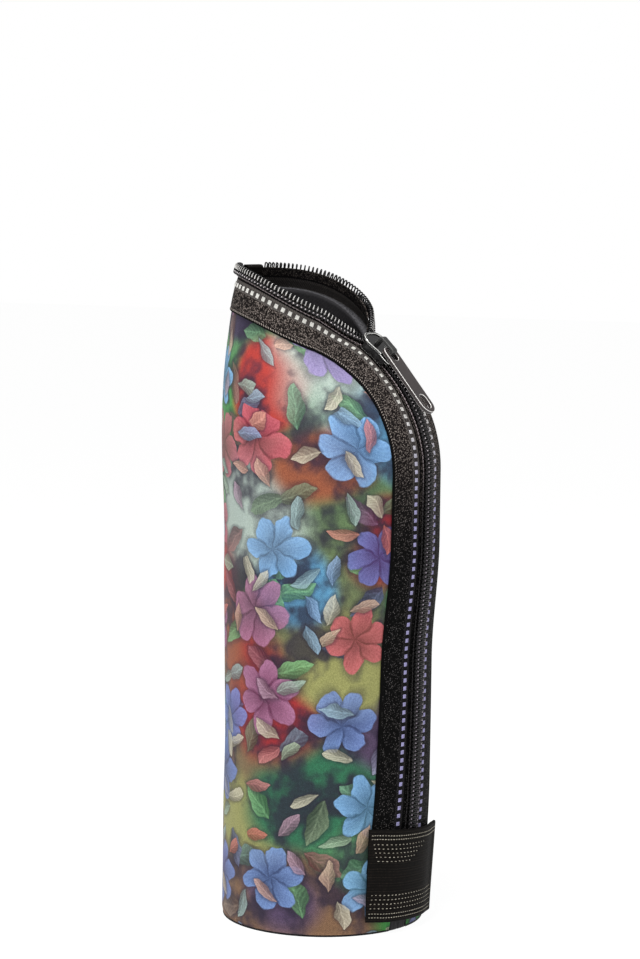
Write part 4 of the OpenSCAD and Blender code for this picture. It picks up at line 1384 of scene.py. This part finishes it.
def studio():
    finish = Finish("floor", Base_Color=shade(244, 244, 244), Roughness=0.9, Specular_IOR_Level=0.1)
    rays = [finish.add("LightPath", out=f"Is {ray} Ray") for ray in ("Camera", "Glossy", "Transmission")]
    seen = sum(rays).clamped() * 0.88
    shared_out(finish, "Material Output", seen, finish.shader, "Emission", 1.07)
    size = 6000
    corners = [(-size, -size, 0), (size, -size, 0), (size, size, 0), (-size, size, 0)]
    plain_object("floor", corners, [(0, 1, 2, 3)], finish.material)

    world = bpy.data.worlds.new("studio")
    bpy.context.scene.world = world
    world.use_nodes = True
    nodes = Nodes(world.node_tree)
    soft = world.node_tree.nodes["Background"]
    soft.inputs["Color"].default_value = (1, 1, 1, 1)
    soft.inputs["Strength"].default_value = 0.42
    rays = [nodes.add("LightPath", out=f"Is {ray} Ray") for ray in ("Camera", "Transmission")]
    shared_out(nodes, "World Output", rays[0].math("MAXIMUM", *rays), soft, "Background", 1.0)


def soft_light(name, azimuth, height, distance, size, watts):
    """A square lamp at an azimuth round the sleeve, in degrees and metres, that looks at its middle."""
    a = math.radians(azimuth)
    place = Vector((math.sin(a) * distance, -math.cos(a) * distance, height))
    lamp = bpy.data.lights.new(name, "AREA")
    lamp.shape = "SQUARE"
    lamp.size = size
    lamp.energy = watts
    holder = linked(name, lamp)
    holder.location = place
    holder.rotation_euler = (Vector((0, 0, 0.16)) - place).to_track_quat("-Z", "Y").to_euler()


studio()
soft_light("key", -95, 0.95, 1.0, 0.6, 7)
soft_light("fill", 0, 0.7, 1.1, 0.5, 3)
soft_light("top", -80, 1.4, 0.35, 0.3, 11)


def camera():
    """The camera of the view: its place, its tilt and roll, and the shift of its frame."""
    distance, height = 1110 * MM, 293 * MM
    pitch, azimuth, roll = math.radians(5.63), math.radians(-57.4), math.radians(0.5)
    focal = 2670.0
    base = (322.4, 910.5)
    frame_w, frame_h = 640, 959
    level = Vector((math.cos(azimuth), math.sin(azimuth), 0))
    look = Vector((-math.sin(azimuth), math.cos(azimuth), -math.tan(pitch))).normalized()
    up = level.cross(look)
    right = level * math.cos(roll) + up * math.sin(roll)
    up = up * math.cos(roll) - level * math.sin(roll)
    place = Vector((math.sin(azimuth) * distance, -math.cos(azimuth) * distance, height))
    deep = -place.dot(look)
    centre_x = base[0] + focal * place.dot(right) / deep
    centre_y = base[1] - focal * place.dot(up) / deep
    lens = bpy.data.cameras.new("view")
    lens.sensor_width = 36.0
    lens.lens = focal / frame_h * lens.sensor_width
    lens.shift_x = (frame_w / 2 - centre_x) / frame_h
    lens.shift_y = (centre_y - frame_h / 2) / frame_h
    lens.clip_start = 0.05
    lens.clip_end = 50
    holder = linked("view", lens)
    turn = Matrix((right, up, -look)).transposed().to_4x4()
    holder.matrix_world = Matrix.Translation(place) @ turn
    bpy.context.scene.camera = holder


camera()
bpy.context.scene.view_settings.view_transform = "Standard"
